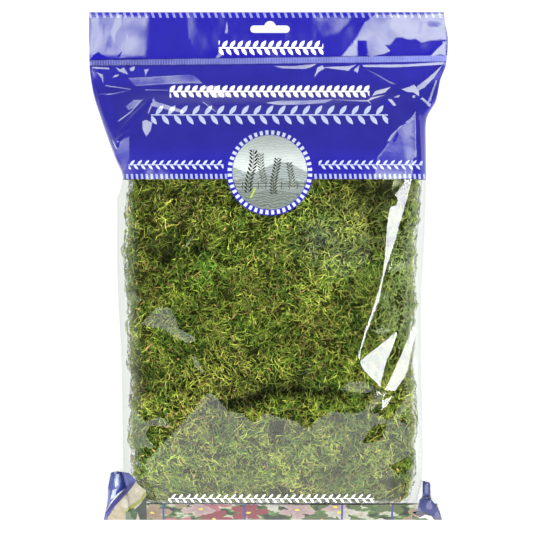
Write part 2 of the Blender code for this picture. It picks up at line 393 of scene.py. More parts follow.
def place(name, verts, faces, material, replaced):
    """Makes a mesh object that rides on the bag and stands for the named solid."""
    mesh = bpy.data.meshes.new(name)
    mesh.from_pydata(verts, [], faces)
    mesh.shade_smooth()
    piece = bpy.data.objects.new(name, mesh)
    bpy.context.scene.collection.objects.link(piece)
    mesh.materials.append(material)
    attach(piece, "root")
    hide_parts(replaced)
    return piece


def felt(name, node, low_share, high_share, y_from, y_to):
    """One folded sheet of old growth: a rounded closed slab inside its layer of the pad."""
    ys = np.linspace(y_from, y_to, FELT_ROWS)
    rings = np.empty((FELT_ROWS, FELT_POINTS, 3))
    for row, y in enumerate(ys):
        to_end = min(y - y_from, y_to - y)
        flat = math.sqrt(1 - max(0.0, 1 - (to_end + 0.0008) / FELT_END_ROUND) ** 2)
        a = squared(np.cos(felt_turn))
        c = squared(np.sin(felt_turn)) * flat
        real_y = np.clip(y, MOSS_FOOT_END + FELT_DEPTH, MOSS_TOP_END - FELT_DEPTH)
        level = (low_share + high_share) / 2 + (high_share - low_share) / 2 * c
        narrowing = (1 - np.abs(2 * level - 1) ** 6) ** (1 / 6)
        left, right = pad_limits(real_y)
        x = (left + right) / 2 + ((right - left) / 2 * narrowing - FELT_DEPTH) * a
        if y_from == SEAM_Y:
            real_y = real_y + (seam(x) - SEAM_Y) * (y_to - y) / (y_to - y_from)
        if y_to == SEAM_Y:
            real_y = real_y + (seam(x) - SEAM_Y) * (y - y_from) / (y_to - y_from)
        thin = end_thinning(real_y)
        under = FELT_DEPTH if low_share == 0 else LAYER_GAP
        over = FELT_DEPTH if high_share == 1 else LAYER_GAP
        low = pad_height(x, real_y, 0.5 + (low_share - 0.5) * thin) + under
        high = pad_height(x, real_y, 0.5 + (high_share - 0.5) * thin) - over
        z = (low + high) / 2 + (high - low) / 2 * c
        rings[row] = np.stack([x, np.broadcast_to(real_y, x.shape), z], -1)
    rough = sum(waves(rings, size, seed) * tall for size, seed, tall in FELT_ROUGH)
    rings[..., 2] += rough * np.sign(squared(np.sin(felt_turn))) * 0.7
    if high_share == 1:
        upper = np.sin(felt_turn) > 0.3
        rings[:, upper, 2] -= hollow_depth(rings[:, upper, 0], rings[:, upper, 1])
    index = np.arange(FELT_ROWS * FELT_POINTS).reshape(FELT_ROWS, FELT_POINTS)
    ahead = np.roll(index, -1, axis=1)
    quads = np.stack([index[:-1], index[1:], ahead[1:], ahead[:-1]], -1).reshape(-1, 4)
    ends = [index[0].tolist(), index[-1][::-1].tolist()]
    faces = quads.tolist() + ends
    return place(name, rings.reshape(-1, 3).tolist(), faces, moss_felt, node)


bottom, low_split, high_split, top = MOSS_SPLITS
felt("felt_back", "moss_sheet_back", bottom, low_split, MOSS_FOOT_END, MOSS_TOP_END)
felt("felt_middle", "moss_sheet_middle", low_split, high_split, MOSS_FOOT_END, MOSS_TOP_END)
felt("felt_front_upper", "moss_sheet_front_upper", high_split, top, SEAM_Y, MOSS_TOP_END)
felt("felt_front_lower", "moss_sheet_front_lower", high_split, top, MOSS_FOOT_END, SEAM_Y)

# The strands: the moss's youngest growth, about half a millimetre thick and mostly 4 to 13 mm long,
# with brown stems and a few dead leaves. They lie matted along the pad's skin in swirling tufts, and
# nothing holds them but each other and the film pressed on them.
moss_strand, tree, shader, output = new_material("moss_strand")
place_in = tree.nodes.new("ShaderNodeTexCoord").outputs["Object"]
own = step(tree, "ShaderNodeAttribute", attribute_name="strand")
leaves = step(tree, "ShaderNodeTexNoise", place_in, None, 1400.0, 2.0)
light = tint(tree, leaves.outputs["Fac"], (0.65, 0.65, 0.60), (1.75, 1.75, 1.60))
leafy = tint(tree, 1.0, own.outputs["Color"], light, "MULTIPLY")
tree.links.new(leafy, shader.inputs["Base Color"])
shader.inputs["Roughness"].default_value = 0.50
shader.inputs["Specular IOR Level"].default_value = 0.35
bump = step(tree, "ShaderNodeBump")
bump.inputs["Strength"].default_value = 0.6
bump.inputs["Distance"].default_value = 0.0005
tree.links.new(leaves.outputs["Fac"], bump.inputs["Height"])
tree.links.new(bump.outputs["Normal"], shader.inputs["Normal"])

STRANDS_ON_TOP = 52500
STRANDS_ON_SIDES = 6500
STRANDS_BELOW = 3500
STEPS = 3
STRAND_LENGTH = 0.0072
STRAND_RADIUS = 0.00028
SHALLOWEST = 0.0004
MAT_DEPTH = 0.0042
TUFT_RELIEF = 0.0016
STRAY_SHARE = 0.16
STRAY_REACH = 0.0016
LEAF_SHARE = 0.007
LEAF_LENGTH = 0.45
LEAF_WIDTH = 2.3
STEM_SHARE = 0.09
YELLOW_GREEN = srgb(196, 200, 92)
MOSS_GREEN = srgb(128, 154, 52)
DEEP_GREEN = srgb(50, 102, 30)
# Painted shade: broad parts of the moss whose strands' colour is darkened to stand for shadow
PAINTED_SHADE = (  # x, y, half width, half height, strength of the broad darker parts
    (-0.062, 0.060, 0.042, 0.014, 0.34),
    (-0.086, 0.018, 0.016, 0.018, 0.40),
    (0.094, 0.058, 0.022, 0.018, 0.45),
    (0.060, 0.064, 0.030, 0.010, 0.30),
    (0.098, -0.040, 0.012, 0.014, 0.30),
    (0.024, -0.102, 0.034, 0.008, 0.30),
    (-0.014, -0.098, 0.024, 0.007, 0.35),
    (0.004, -0.135, 0.014, 0.010, 0.30),
    (0.086, -0.134, 0.014, 0.010, 0.25),
    (-0.104, -0.086, 0.012, 0.016, 0.25),
)
# Painted sheen: pale green laid over the moss where the film's pale veil and its white streaks on the right
# lie over it
PAINTED_SHEEN = (  # x, y, half width, half height, strength of the paler, greener parts
    (0.054, 0.021, 0.032, 0.026, 0.45),
    (0.107, 0.010, 0.010, 0.045, 0.75),
    (0.100, -0.044, 0.011, 0.020, 0.80),
)
SHEEN_GREEN = srgb(168, 190, 124)
FRESH_GREEN = srgb(110, 170, 60)
STEM_BROWN = srgb(170, 144, 88)
DEAD_LEAF = srgb(206, 166, 108)


# How much skin each patch stands for, so that the strands are spread evenly
patch_area = np.minimum(skin_area, np.median(skin_area) * 2.5)


def spread(count, low, high):
    """Random starts for strands, where the z of the skin's outward direction is within two limits."""
    share = luck.uniform(0.0, 1.0, count * 12)
    y = luck.uniform(skin_y[0], skin_y[-1], count * 12)
    row = np.clip(((y - skin_y[0]) / (skin_y[1] - skin_y[0])).astype(int), 0, SKIN_ROWS - 1)
    room = patch_area[row, (share * SKIN_POINTS).astype(int)] / patch_area.max()
    facing = on_skin(share, y)[1][..., 2]
    fits = (facing >= low) & (facing < high) & (luck.uniform(0.0, 0.6, len(y)) < room)
    kept = np.flatnonzero(fits)[:count]
    return share[kept], y[kept]


starts = [
    spread(STRANDS_ON_TOP, 0.25, 2.0),
    spread(STRANDS_ON_SIDES, -0.6, 0.25),
    spread(STRANDS_BELOW, -2.0, -0.6),
]
start_share = np.concatenate([s for s, _ in starts])
start_y = np.concatenate([y for _, y in starts])
count = len(start_y)
start_at, start_out = on_skin(start_share, start_y)
below = start_out[:, 2] < -0.6
# The heading swirls with the tufts, and each strand has its own curl, length, width and depth
heading = waves(start_at, 0.030, 21) * 2.6 + waves(start_at, 0.011, 22) * 0.9 + luck.normal(0.0, 1.4, count)
curl = luck.normal(0.0, 0.38, count)
length = STRAND_LENGTH * np.exp(luck.normal(-0.05, 0.42, count))
radius = STRAND_RADIUS * luck.uniform(0.65, 1.3, count)
radius[below] *= 1.35
layer = luck.uniform(0.0, 1.0, count) ** 1.4
tuft = 0.5 + 0.5 * waves(start_at, 0.014, 23)
base_depth = SHALLOWEST + MAT_DEPTH * layer + TUFT_RELIEF * np.clip(tuft, 0.0, 1.2)
stray = (start_out[:, 2] < 0.45) & ~below & (luck.uniform(0.0, 1.0, count) < STRAY_SHARE)
base_depth[stray] = -STRAY_REACH * luck.uniform(0.0, 1.0, stray.sum())
is_leaf = luck.uniform(0.0, 1.0, count) < LEAF_SHARE
length[is_leaf] *= LEAF_LENGTH
radius[is_leaf] *= LEAF_WIDTH
lift = luck.uniform(0.0, 0.0030, count)
share, y = start_share.copy(), start_y.copy()
paths = np.empty((count, STEPS + 1, 3))
outs = np.empty((count, STEPS + 1, 3))
ring_girth = np.interp(start_y, skin_y, girth)
# Each strand is laid along the skin step by step, deeper at its ends and where the pad has a hollow
for k in range(STEPS + 1):
    point, out = on_skin(share, y)
    sag = lift * (1 - math.sin(math.pi * k / STEPS)) + 0.0005 * np.sin(9.1 * heading + 2.2 * k)
    deep = base_depth + sag
    on_top = out[:, 2] > 0.6
    deep = deep + np.where(on_top, hollow_depth(point[:, 0], point[:, 1]) * (0.65 + 0.35 * layer), 0.0)
    paths[:, k] = point - out * np.where(stray, deep, np.maximum(deep, radius))[:, None]
    outs[:, k] = out
    way = heading + curl * k + 0.45 * np.sin(2.3 * k + 40 * curl)
    share = share + np.cos(way) * length / STEPS / ring_girth
    y = np.clip(y + np.sin(way) * length / STEPS, skin_y[0], skin_y[-1])

# Each strand's mesh: three sides, pointed at both ends, rolled its own way round its path
SIDES = 3
along_path = np.gradient(paths, axis=1)
along_path /= np.linalg.norm(along_path, axis=-1, keepdims=True) + 1e-9
sideways = np.cross(along_path, outs)
sideways /= np.linalg.norm(sideways, axis=-1, keepdims=True) + 1e-9
upward = np.cross(sideways, along_path)
swell = np.array([0.0, 1.0, 0.85, 0.0])
rolls = luck.uniform(0.0, 2 * math.pi, count)
rings = []
for k in range(1, STEPS):
    for side in range(SIDES):
        angle = rolls + 0.5 * k + 2 * math.pi * side / SIDES
        reach = radius * swell[k] * (1 + 0.25 * np.sin(5 * rolls + 3 * k))
        offset = np.cos(angle)[:, None] * sideways[:, k] + 0.8 * np.sin(angle)[:, None] * upward[:, k]
        rings.append(paths[:, k] + reach[:, None] * offset)
strand_verts = np.stack([paths[:, 0], *rings, paths[:, -1]], 1)
# No strand reaches through the film
film_left = along_bag(LEFT_EDGE, strand_verts[..., 1]) + STRAND_CLEARANCE
film_right = along_bag(RIGHT_EDGE, strand_verts[..., 1]) - STRAND_CLEARANCE
strand_verts[..., 0] = np.clip(strand_verts[..., 0], film_left, film_right)
film_above = film_height(strand_verts[..., 0], strand_verts[..., 1], True) - STRAND_CLEARANCE / 2
film_below = film_height(strand_verts[..., 0], strand_verts[..., 1], False) + STRAND_CLEARANCE / 2
strand_verts[..., 2] = np.clip(strand_verts[..., 2], film_below, np.maximum(film_below, film_above))
verts_each = strand_verts.shape[1]
last = verts_each - 1
strand_faces = []
for side in range(SIDES):
    other = (side + 1) % SIDES
    strand_faces.append((0, 1 + other, 1 + side))
    for band in range(STEPS - 2):
        near, far = 1 + band * SIDES, 1 + (band + 1) * SIDES
        strand_faces.append((near + side, near + other, far + other, far + side))
    near = 1 + (STEPS - 2) * SIDES
    strand_faces.append((near + side, near + other, last))

# Each strand's colour: brighter and yellower on the crowns of the tufts and browner below, with painted
# shade that darkens it the deeper it lies and in the pad's hollows
warm = waves(start_at, 0.045, 31)
bright = np.clip(0.62 - 0.55 * layer + 0.10 * waves(start_at, 0.009, 32) + luck.normal(0, 0.20, count), 0, 1)
green = np.array(DEEP_GREEN) + (np.array(MOSS_GREEN) - DEEP_GREEN) * np.clip(bright * 1.6, 0, 1)[:, None]
yellow = np.clip((bright - 0.45) * 1.8 + 0.16 * warm, 0, 1)[:, None]
colour = green + (np.array(YELLOW_GREEN) - green) * yellow
left_patch = np.exp(-(((start_at[:, 0] + 0.099) / 0.018) ** 2) - ((start_at[:, 1] + 0.010) / 0.026) ** 2)
fresh_patch = np.exp(-(((start_at[:, 0] + 0.049) / 0.009) ** 2) - ((start_at[:, 1] + 0.003) / 0.008) ** 2)
colour += (np.array(FRESH_GREEN) - colour) * 0.55 * fresh_patch[:, None]
is_stem = luck.uniform(0, 1, count) < STEM_SHARE + 0.22 * left_patch + 0.09 * np.clip(warm, 0, 1)
colour[is_stem] = np.array(STEM_BROWN) * luck.uniform(0.45, 1.1, is_stem.sum())[:, None]
colour[is_leaf] = DEAD_LEAF
# Painted shade: strands are darkened by their depth in the pad and by how far they sink into a hollow
painted_hollow_shade = np.clip(hollow_depth(start_at[:, 0], start_at[:, 1]) / 0.0045, 0.0, 1.0) * (start_out[:, 2] > 0.25)
colour *= ((1.04 - 0.70 * layer) * (1.0 - 0.84 * painted_hollow_shade) * (1.0 + 0.12 * waves(start_at, 0.020, 33)))[:, None]
colour *= luck.uniform(0.50, 1.44, count)[:, None]
# Painted shade: darken the strands over the broad shaded parts
for middle_x, middle_y, wide, tall, strength in PAINTED_SHADE:
    reach = ((start_at[:, 0] - middle_x) / wide) ** 2 + ((start_at[:, 1] - middle_y) / tall) ** 2
    colour *= (1 - strength * np.exp(-reach))[:, None]
vivid = np.clip(colour.mean(1) / colour.mean(), 0.05, 3.0)
colour *= (vivid ** (0.12 + 0.24 * np.clip((start_y + 0.01) / 0.03, 0.0, 1.0)))[:, None]
# Painted sheen: blend the strands towards pale green under the veil and the streaks, also darkened with
# depth as painted shade
for middle_x, middle_y, wide, tall, strength in PAINTED_SHEEN:
    reach = ((start_at[:, 0] - middle_x) / wide) ** 2 + ((start_at[:, 1] - middle_y) / tall) ** 2
    pale = np.array(SHEEN_GREEN) * (1.1 - 0.9 * layer)[:, None]
    colour += (pale - colour) * (strength * np.exp(-reach))[:, None]
colour = np.concatenate([colour, np.ones((count, 1))], 1)

height_share = (start_at[:, 2] - pad_height(start_at[:, 0], start_at[:, 1], 0.0)) / np.maximum(
    1e-6, pad_height(start_at[:, 0], start_at[:, 1], 1.0) - pad_height(start_at[:, 0], start_at[:, 1], 0.0)
)
is_front = height_share > MOSS_SPLITS[2]
is_upper = is_front & (start_at[:, 1] > seam(start_at[:, 0]))
is_lower = is_front & ~is_upper
is_back = height_share < MOSS_SPLITS[1]
is_left = start_at[:, 0] < -0.040
is_right = start_at[:, 0] > 0.040
for name, chosen, node in (
    ("strands_upper_left", is_upper & is_left, "moss_sheet_front_upper"),
    ("strands_upper_middle", is_upper & ~is_left & ~is_right, "moss_sheet_front_upper"),
    ("strands_upper_right", is_upper & is_right, "moss_sheet_front_upper"),
    ("strands_lower_left", is_lower & (start_at[:, 0] < 0), "moss_sheet_front_lower"),
    ("strands_lower_right", is_lower & (start_at[:, 0] >= 0), "moss_sheet_front_lower"),
    ("strands_middle", ~is_front & ~is_back, "moss_sheet_middle"),
    ("strands_back", is_back, "moss_sheet_back"),
):
    some = np.flatnonzero(chosen)
    first = np.arange(len(some)) * verts_each
    faces = [tuple(int(f) + corner for corner in face) for f in first for face in strand_faces]
    piece = place(name, strand_verts[some].reshape(-1, 3).tolist(), faces, moss_strand, node)
    stored = piece.data.color_attributes.new("strand", "FLOAT_COLOR", "POINT")
    stored.data.foreach_set("color", np.repeat(colour[some], verts_each, axis=0).ravel())

# The bag's front: clear film, 0.05 mm thick, printed in opaque inks. Each flat facet between its
# creases mirrors one light, so the facets are cut into the mesh and given the way they lean.
PIXEL = 0.000806
PHOTO_MIDDLE = (268.4, 266.0)
SLOT_CENTRE = (0.0013, 0.1908)
SLOT_WIDTH = 0.0318
SLOT_BAR = 0.0060
SLOT_HEIGHT = 0.0096
SLOT_BUMP_RADIUS = 0.0047
ROW_STEP = 0.0014
FILM_COLUMNS = 168
BEND_SHARE = 0.020
LEANS = {  # the way a facet leans: its azimuth, and its tilt in degrees where it is dull and where bright
    "haze": (-90.0, 4.0, 8.0),
    "streak": (-35.0, 11.5, 11.5),
    "left": (135.0, 5.5, 11.0),
    "right": (45.0, 5.5, 11.0),
    "dark": (90.0, 12.0, 40.0),
}
FACETS = (  # lean, brightness, width of its soft border in millimetres, then its corners as pixels
    ("calm", 0.0, 0, (119, 394), (419, 394), (419, 470), (119, 470)),
    ("calm", 0.0, 0, (384, 240), (402, 240), (402, 290), (384, 290)),
    ("flat", 0.0, 0, (383, 393), (400, 388), (404, 400), (400, 426), (384, 426), (380, 410)),
    ("haze", 1.0, 0, (145.4, 463.6), (148.5, 456.4), (155.6, 450.3), (160.7, 444.2), (169.9, 436),
     (180.1, 424.8), (188.3, 414.6), (196.4, 405.4), (202.6, 397.2), (208.7, 391.1), (214.8, 393.2),
     (221.9, 401.3), (229.1, 409.5), (242.3, 411.5), (247.4, 416.6), (254.6, 420.7), (259.7, 415.6),
     (265.8, 411), (275, 414.6), (285, 416.6), (296.5, 419.2), (301.6, 424.8), (310.8, 425.8),
     (313.9, 419.7), (322, 414.6), (331.2, 409.5), (343.5, 411), (354.7, 411), (363.9, 409.5),
     (376, 411.5), (385.3, 418.7), (390.4, 418.7), (397.6, 418.7), (402.5, 421), (409.8, 425.8),
     (416.5, 418), (416.5, 503), (159, 503), (149.5, 474.8)),
    ("haze", 0.9, 0, (131, 404), (137, 408.5), (144.5, 418.7), (150.5, 418.7), (159.7, 414.6),
     (165.8, 416.6), (173, 426), (168, 425.8), (162.8, 423.8), (151, 424), (147.2, 430.5), (149, 436.5),
     (155, 443), (158, 445.2), (154, 445.2), (143.4, 445.5), (133, 450.3), (131, 450)),
    ("haze", 0.9, 0, (131, 452), (135, 455), (144.5, 462), (145.4, 463.6), (141, 463.5), (131, 463)),
    ("haze", 1.0, 0, (408, 390), (415, 388), (415, 398), (404, 408), (396, 419), (388, 419), (398, 405)),
    ("haze", 1.0, 0, (376, 394), (382, 389.5), (381.5, 397), (373, 406), (367, 411), (360, 411), (368, 402)),
    ("haze", 0.8, 0, (127, 291), (136, 291), (139, 297), (146, 300), (134, 303), (127, 300)),
    ("haze", 0.9, 0, (142.6, 323), (150, 316), (157, 308), (163, 306.5), (172, 308), (175, 315),
     (180.5, 328), (190, 333), (198, 339), (189, 342.5), (175, 336), (166, 329), (152, 326)),
    ("haze", 0.9, 0, (192, 355), (196, 356), (200, 362), (205, 371.5), (202, 371), (197, 366)),
    ("haze", 0.7, 0, (131.5, 198), (144, 197), (143, 207), (133, 207.5)),
    ("haze", 0.8, 0, (369.3, 329.4), (380.4, 334.4), (390, 329.4), (380.4, 327.3)),
    ("haze", 0.8, 0, (340.4, 388.2), (347.5, 380.6), (360.2, 379.3), (374.2, 386.9), (365.3, 392),
     (353.8, 390.8)),
    ("haze", 0.10, 9, (288, 215), (330, 206), (374, 220), (380, 262), (346, 288), (303, 276)),
    ("haze", 1.0, 0.8, (345, 187), (352, 183), (359, 184), (354, 190), (351, 197), (345, 194)),
    ("haze", 0.8, 0, (389, 271), (397, 264), (405, 260), (411, 256), (413, 262), (403, 268), (396, 271)),
    ("haze", 0.9, 0, (412.5, 356), (416.5, 358), (416, 386), (409, 385), (409, 376)),
    ("haze", 0.8, 0, (418.5, 213), (418.5, 226), (413, 237), (410, 247), (409, 243), (412, 231), (415, 222)),
    ("haze", 1.0, 0, (185.2, 248.6), (188.5, 242), (196.5, 234), (190, 243.5), (187.5, 248)),
    ("flat", 0.0, 0, (385.3, 421.7), (373.1, 422.8), (366.9, 429.9), (360.8, 441.1), (372, 440.1),
     (380.2, 437), (383.3, 428.9)),
    ("flat", 0.0, 0, (395.5, 460.5), (410.8, 451.3), (414.5, 447.2), (414, 460.5), (401.6, 472.8),
     (395.5, 471.7), (387.3, 463.6)),
    ("flat", 0.0, 0, (128, 181), (226, 181), (236, 200), (200, 226), (140, 226)),
    ("flat", 0.0, 0, (312, 181), (392, 181), (384, 222), (345, 226), (308, 195)),
    ("streak", 1.0, 0, (402.9, 180.5), (410, 180.5), (406.1, 197.1), (401.7, 212.4), (397.2, 226.5),
     (394, 239.2), (390.8, 249.4), (387, 260.9), (383.2, 272.4), (380, 286.4), (378.9, 296), (367.4, 327),
     (359.4, 350), (358.6, 358.9), (357, 358.5), (356.9, 353.8), (364.3, 328.3), (374.2, 300), (378.2, 287),
     (381.3, 272.4), (383.2, 257), (384.4, 241.8), (385.1, 229), (387, 215), (388.9, 207.3),
     (393.5, 206.5), (396, 203), (395.6, 198.5), (392.5, 196.3), (395.3, 193.3), (402.3, 184.4)),
    ("streak", 1.0, 0, (358.9, 359.5), (395.9, 330.2), (390.8, 347.4), (384.4, 361.4), (380.6, 376.7),
     (378.7, 385), (365.3, 371.6), (360.2, 365.3)),
    ("streak", 1.0, 0, (411.9, 325.1), (415, 330.8), (408.7, 353.8), (406.1, 369.1), (402.3, 376.7),
     (393.4, 389.5), (383.2, 388.2), (390.8, 372.9), (398.5, 356.3), (404.8, 341)),
    ("streak", 1.0, 0, (380.6, 399.7), (390.2, 394.6), (385.7, 403.5), (380, 408.6)),
    # the header's left corner
    ("left", 0.36, 5, (88, 13), (151, 13), (149, 60), (88, 60)),
    ("left", 0.75, 2, (90, 18), (100, 16), (100, 34), (95, 50), (91, 48)),
    ("left", 1.0, 1.5, (116, 14), (123, 14), (122, 25), (116, 34), (116, 46), (112, 40), (110, 32),
     (113, 25)),
    ("left", 0.9, 1, (124.5, 30), (128, 33), (129.5, 45), (128, 56), (126, 55), (127, 44)),
    ("left", 0.0, 1, (102, 23), (105.5, 24), (105.5, 40), (103, 42)),
    ("left", 0.2, 3, (104, 30), (112, 36), (113, 50), (106, 48)),
    ("flat", 0.0, 0, (91, 60), (92.9, 55.9), (98.6, 51.9), (102, 54.8), (109, 58.2), (110, 60)),
    ("flat", 0.0, 0, (117, 57), (122.7, 50.6), (120, 57)),
    ("left", 0.80, 0.5, (226.6, 19.8), (228.9, 28.4), (228.3, 34), (224.3, 33.5)),
    ("left", 0.55, 0.8, (214.6, 59.4), (218, 51.3), (221, 50.5), (223.5, 56), (220, 58.7)),
    ("left", 0.9, 0, (92.5, 67), (109, 68), (110, 69.5), (96, 69)),
    ("left", 0.8, 0, (115.8, 67.4), (120.4, 69.5), (124, 67.8), (128.5, 74.8), (124, 73.5), (119, 71.5)),
    ("left", 0.8, 0, (129.6, 68.5), (135.4, 66.3), (134.2, 70.8), (130.8, 71.6)),
    ("left", 0.8, 0, (112.4, 77.9), (115, 75.5), (119.3, 74.6), (117.5, 77)),
    ("left", 0.5, 0, (96.9, 72.4), (103.2, 75), (103.9, 83.8), (101, 77.5)),
    ("left", 0.4, 0, (144.5, 69.7), (149.1, 69.1), (145.7, 76.6)),
    ("left", 0.12, 0, (129, 79), (178, 76), (194, 75.5), (203, 84), (173, 83), (135, 86)),
    ("left", 0.30, 0, (128.5, 78.5), (178, 75.6), (194, 75), (178, 76.6), (129, 79.4)),
    ("left", 0.30, 0, (135.4, 85.4), (173, 83), (201, 83.4), (173, 84.2), (136, 86.6)),
    ("left", 0.30, 0, (145.7, 89.9), (168.7, 90.5), (168.7, 91.3), (145.7, 90.9)),
    ("left", 0.35, 0, (105.5, 85.4), (130.8, 89.2), (131.5, 90.4), (106, 86.6)),
    ("left", 0.30, 0, (98.6, 94.6), (112.4, 94), (131, 90.5), (112.4, 95.2), (99, 95.8)),
    ("left", 0.40, 0, (203.1, 86.9), (215.7, 86.3), (230.6, 97.2), (213.4, 98.4)),
    ("left", 0.45, 0, (154, 98), (155.5, 102), (160, 103.5), (183, 111), (184, 114), (165, 110),
     (152.5, 107), (149.5, 115), (148.5, 114)),
    ("left", 0.45, 0, (202, 102.6), (204, 102.8), (216.5, 112.5), (215, 112.8)),
    ("left", 0.10, 0, (126.2, 107.6), (134.2, 100.7), (142.3, 100.7), (137, 107.5), (129.6, 111)),
    ("left", 0.60, 0, (143.4, 122.5), (146.6, 120.9), (153.1, 123.6), (152, 131.2), (147.7, 137.7),
     (143.9, 131.2)),
    ("left", 0.85, 0, (113, 139.9), (115.5, 143.5), (119.8, 152), (116.3, 148.5)),
    ("left", 0.5, 0, (118.4, 143.1), (123, 137), (130.3, 130.8), (124, 137.5), (119.2, 143.6)),
    ("left", 0.08, 0, (130.4, 137.7), (130.9, 159.4), (128.7, 164.8), (126, 172.4), (116.3, 155),
     (120.6, 147.5), (121.7, 141)),
    ("left", 0.35, 0, (114.7, 124.8), (130.8, 112.8), (146, 97.5), (131.5, 113.8), (115.5, 125.8)),
    ("dark", 1.0, 0, (150.5, 99.5), (153.5, 102.5), (123.5, 133.5), (120.5, 131)),
    ("dark", 1.0, 0, (128, 132.5), (130.5, 134.5), (121, 143.5), (118.5, 141)),
    ("dark", 0.8, 0, (115, 58.8), (150, 57.8), (150, 59.0), (115, 60.0)),
    ("dark", 0.9, 3, (94, 80), (101, 78), (113, 97), (120, 121), (121, 131), (111, 133), (102, 110)),
    # the header's right corner
    ("dark", 1.0, 0, (416.2, 121), (418.6, 121), (419.6, 161), (417.4, 161)),
    ("dark", 1.0, 0, (394.1, 88.9), (401, 89.6), (406.8, 93), (404, 97), (398, 93.5)),
    ("dark", 1.0, 0, (413, 97.5), (420, 99.5), (429, 109), (424, 110), (416, 104)),
    ("dark", 0.8, 1, (380, 100), (388, 97), (392, 108), (388, 112), (380, 106)),
    ("dark", 0.8, 0, (324, 68.9), (337, 70.5), (348, 72), (349, 73.4), (336, 72.4), (323, 71.5)),
    ("right", 0.14, 5, (309, 13), (357, 13), (352, 26), (338, 36), (323, 40), (315, 30)),
    ("right", 0.48, 1.0, (363.9, 21.9), (375, 14), (446, 13), (446, 39.7), (432, 41.4), (421.4, 44.4),
     (415.5, 39.7), (408.4, 40.8), (402.4, 38.5), (396.5, 38.5), (391.7, 44.4), (389.4, 46.2),
     (387, 45.6), (378.7, 50.3), (369.2, 56.3), (366.2, 57.4), (366.2, 41.4), (358.5, 41.4),
     (358.5, 57.4), (339.5, 57.4), (349, 45.6), (356.2, 36.1)),
    ("right", 0.76, 3, (392, 14), (446, 13), (446, 40), (424, 43), (415, 38), (398, 36), (388, 28)),
    ("right", 1.0, 2, (419, 33), (434, 31), (446, 28), (446, 39), (431, 41.5), (422, 43)),
    ("right", 0.45, 1.2, (419, 20.7), (424, 20.7), (421, 36), (417, 36)),
    ("right", 0.15, 1.0, (424, 22), (430, 20), (439, 20.5), (443, 24), (438, 28), (429, 28)),
    ("right", 1.0, 0.8, (352, 40), (356, 39.5), (357, 44), (354, 46)),
    ("right", 0.45, 0, (366.9, 54.6), (383.3, 43.5), (390.4, 51.1), (384, 54), (371, 57)),
    ("right", 1.0, 0, (376.3, 35.2), (383.3, 42.6), (388.6, 45.4), (383, 44.4), (376.8, 37.4)),
    ("right", 0.80, 0, (430.3, 56.5), (436.1, 49.9), (445.5, 41.7), (445.5, 56), (441, 54.5)),
    ("flat", 0.0, 0, (357.5, 41.7), (363.4, 41.1), (365.2, 57.2), (358.7, 57.2)),
    ("right", 0.85, 0, (362.2, 65.2), (405, 64.5), (443.6, 62.2), (442.6, 64.8), (395.1, 67.7),
     (363.4, 67.2)),
    ("right", 0.65, 0, (273, 66.3), (295, 66.2), (316.5, 64), (311, 67.5), (304.7, 69.3), (283.6, 68.7)),
    ("right", 0.80, 0, (314.1, 77.5), (317.6, 67.5), (322.3, 65.7), (324.7, 68.7), (319, 72)),
    ("right", 0.75, 0, (322.3, 67.5), (348.1, 66.3), (356.4, 64.6), (348.1, 71), (336.4, 69.6)),
    ("right", 0.80, 0, (353.6, 71), (355, 69), (359.5, 65.2), (358.5, 70), (357.5, 73.4)),
    ("right", 0.35, 0, (365.7, 69.4), (378, 75), (390.4, 82.4), (396.3, 85.1), (390, 83.6), (377, 76)),
    ("right", 0.65, 0, (442.4, 65.2), (434, 78), (424, 88), (418.5, 91), (416.2, 87), (426.8, 79.2)),
    ("right", 0.95, 0, (401, 89.6), (407, 88), (413.9, 85.1), (418.5, 91), (418.5, 96.8), (413, 93),
     (406.8, 92.4)),
    ("right", 0.90, 0, (371.6, 96.8), (375.1, 91.5), (390.4, 87.4), (384.5, 93.3), (377, 95)),
    ("right", 0.90, 0, (366.9, 101.7), (370, 98.4), (385.7, 95.3), (376, 98.6), (370, 101)),
    ("right", 0.90, 0, (387, 100), (391, 99.8), (395.5, 105.8), (393, 107)),
    ("right", 1.0, 0, (412, 96), (414.6, 96), (414.6, 98.4), (412, 98.2)),
    ("right", 0.5, 0, (392.7, 98.2), (396, 96.8), (399.8, 95.2), (398, 98)),
    ("right", 0.9, 0, (419.7, 99.2), (422.1, 98), (430.3, 105), (429.1, 107.6)),
    ("right", 0.35, 0, (435.5, 80), (437, 81), (430, 102), (427, 103)),
    ("right", 0.50, 0, (266, 103.9), (277.7, 101.7), (305, 101.4), (332.9, 100), (324.7, 103.9),
     (300, 105.5), (277.7, 105.8)),
    ("right", 0.60, 0, (332.9, 100), (350, 101), (368.1, 101), (370.5, 104.8), (367, 102.2), (350, 102)),
    ("right", 0.07, 1.5, (403.8, 123.5), (409.6, 119.7), (415.3, 111), (416.6, 118.7), (416, 137.8),
     (416.3, 158.9), (412.5, 160.8), (411, 180), (372.3, 180), (376.1, 157), (381.8, 149.3),
     (393.3, 132.1), (397.1, 126.4)),
    ("right", 0.30, 3, (404, 124), (413, 122), (413, 160), (403, 164), (400, 140)),
    ("right", 0.22, 1.5, (404, 166), (411, 164), (411, 180), (403, 180)),
    ("right", 0.40, 0, (404, 123.5), (410, 119), (415, 112), (413, 121), (408, 124)),
    ("right", 0.60, 0, (385.7, 143), (390, 136), (395.5, 131), (392.5, 137), (389, 142)),
    ("flat", 0.0, 0, (396, 132), (397.5, 136), (394, 143), (391, 144)),
)
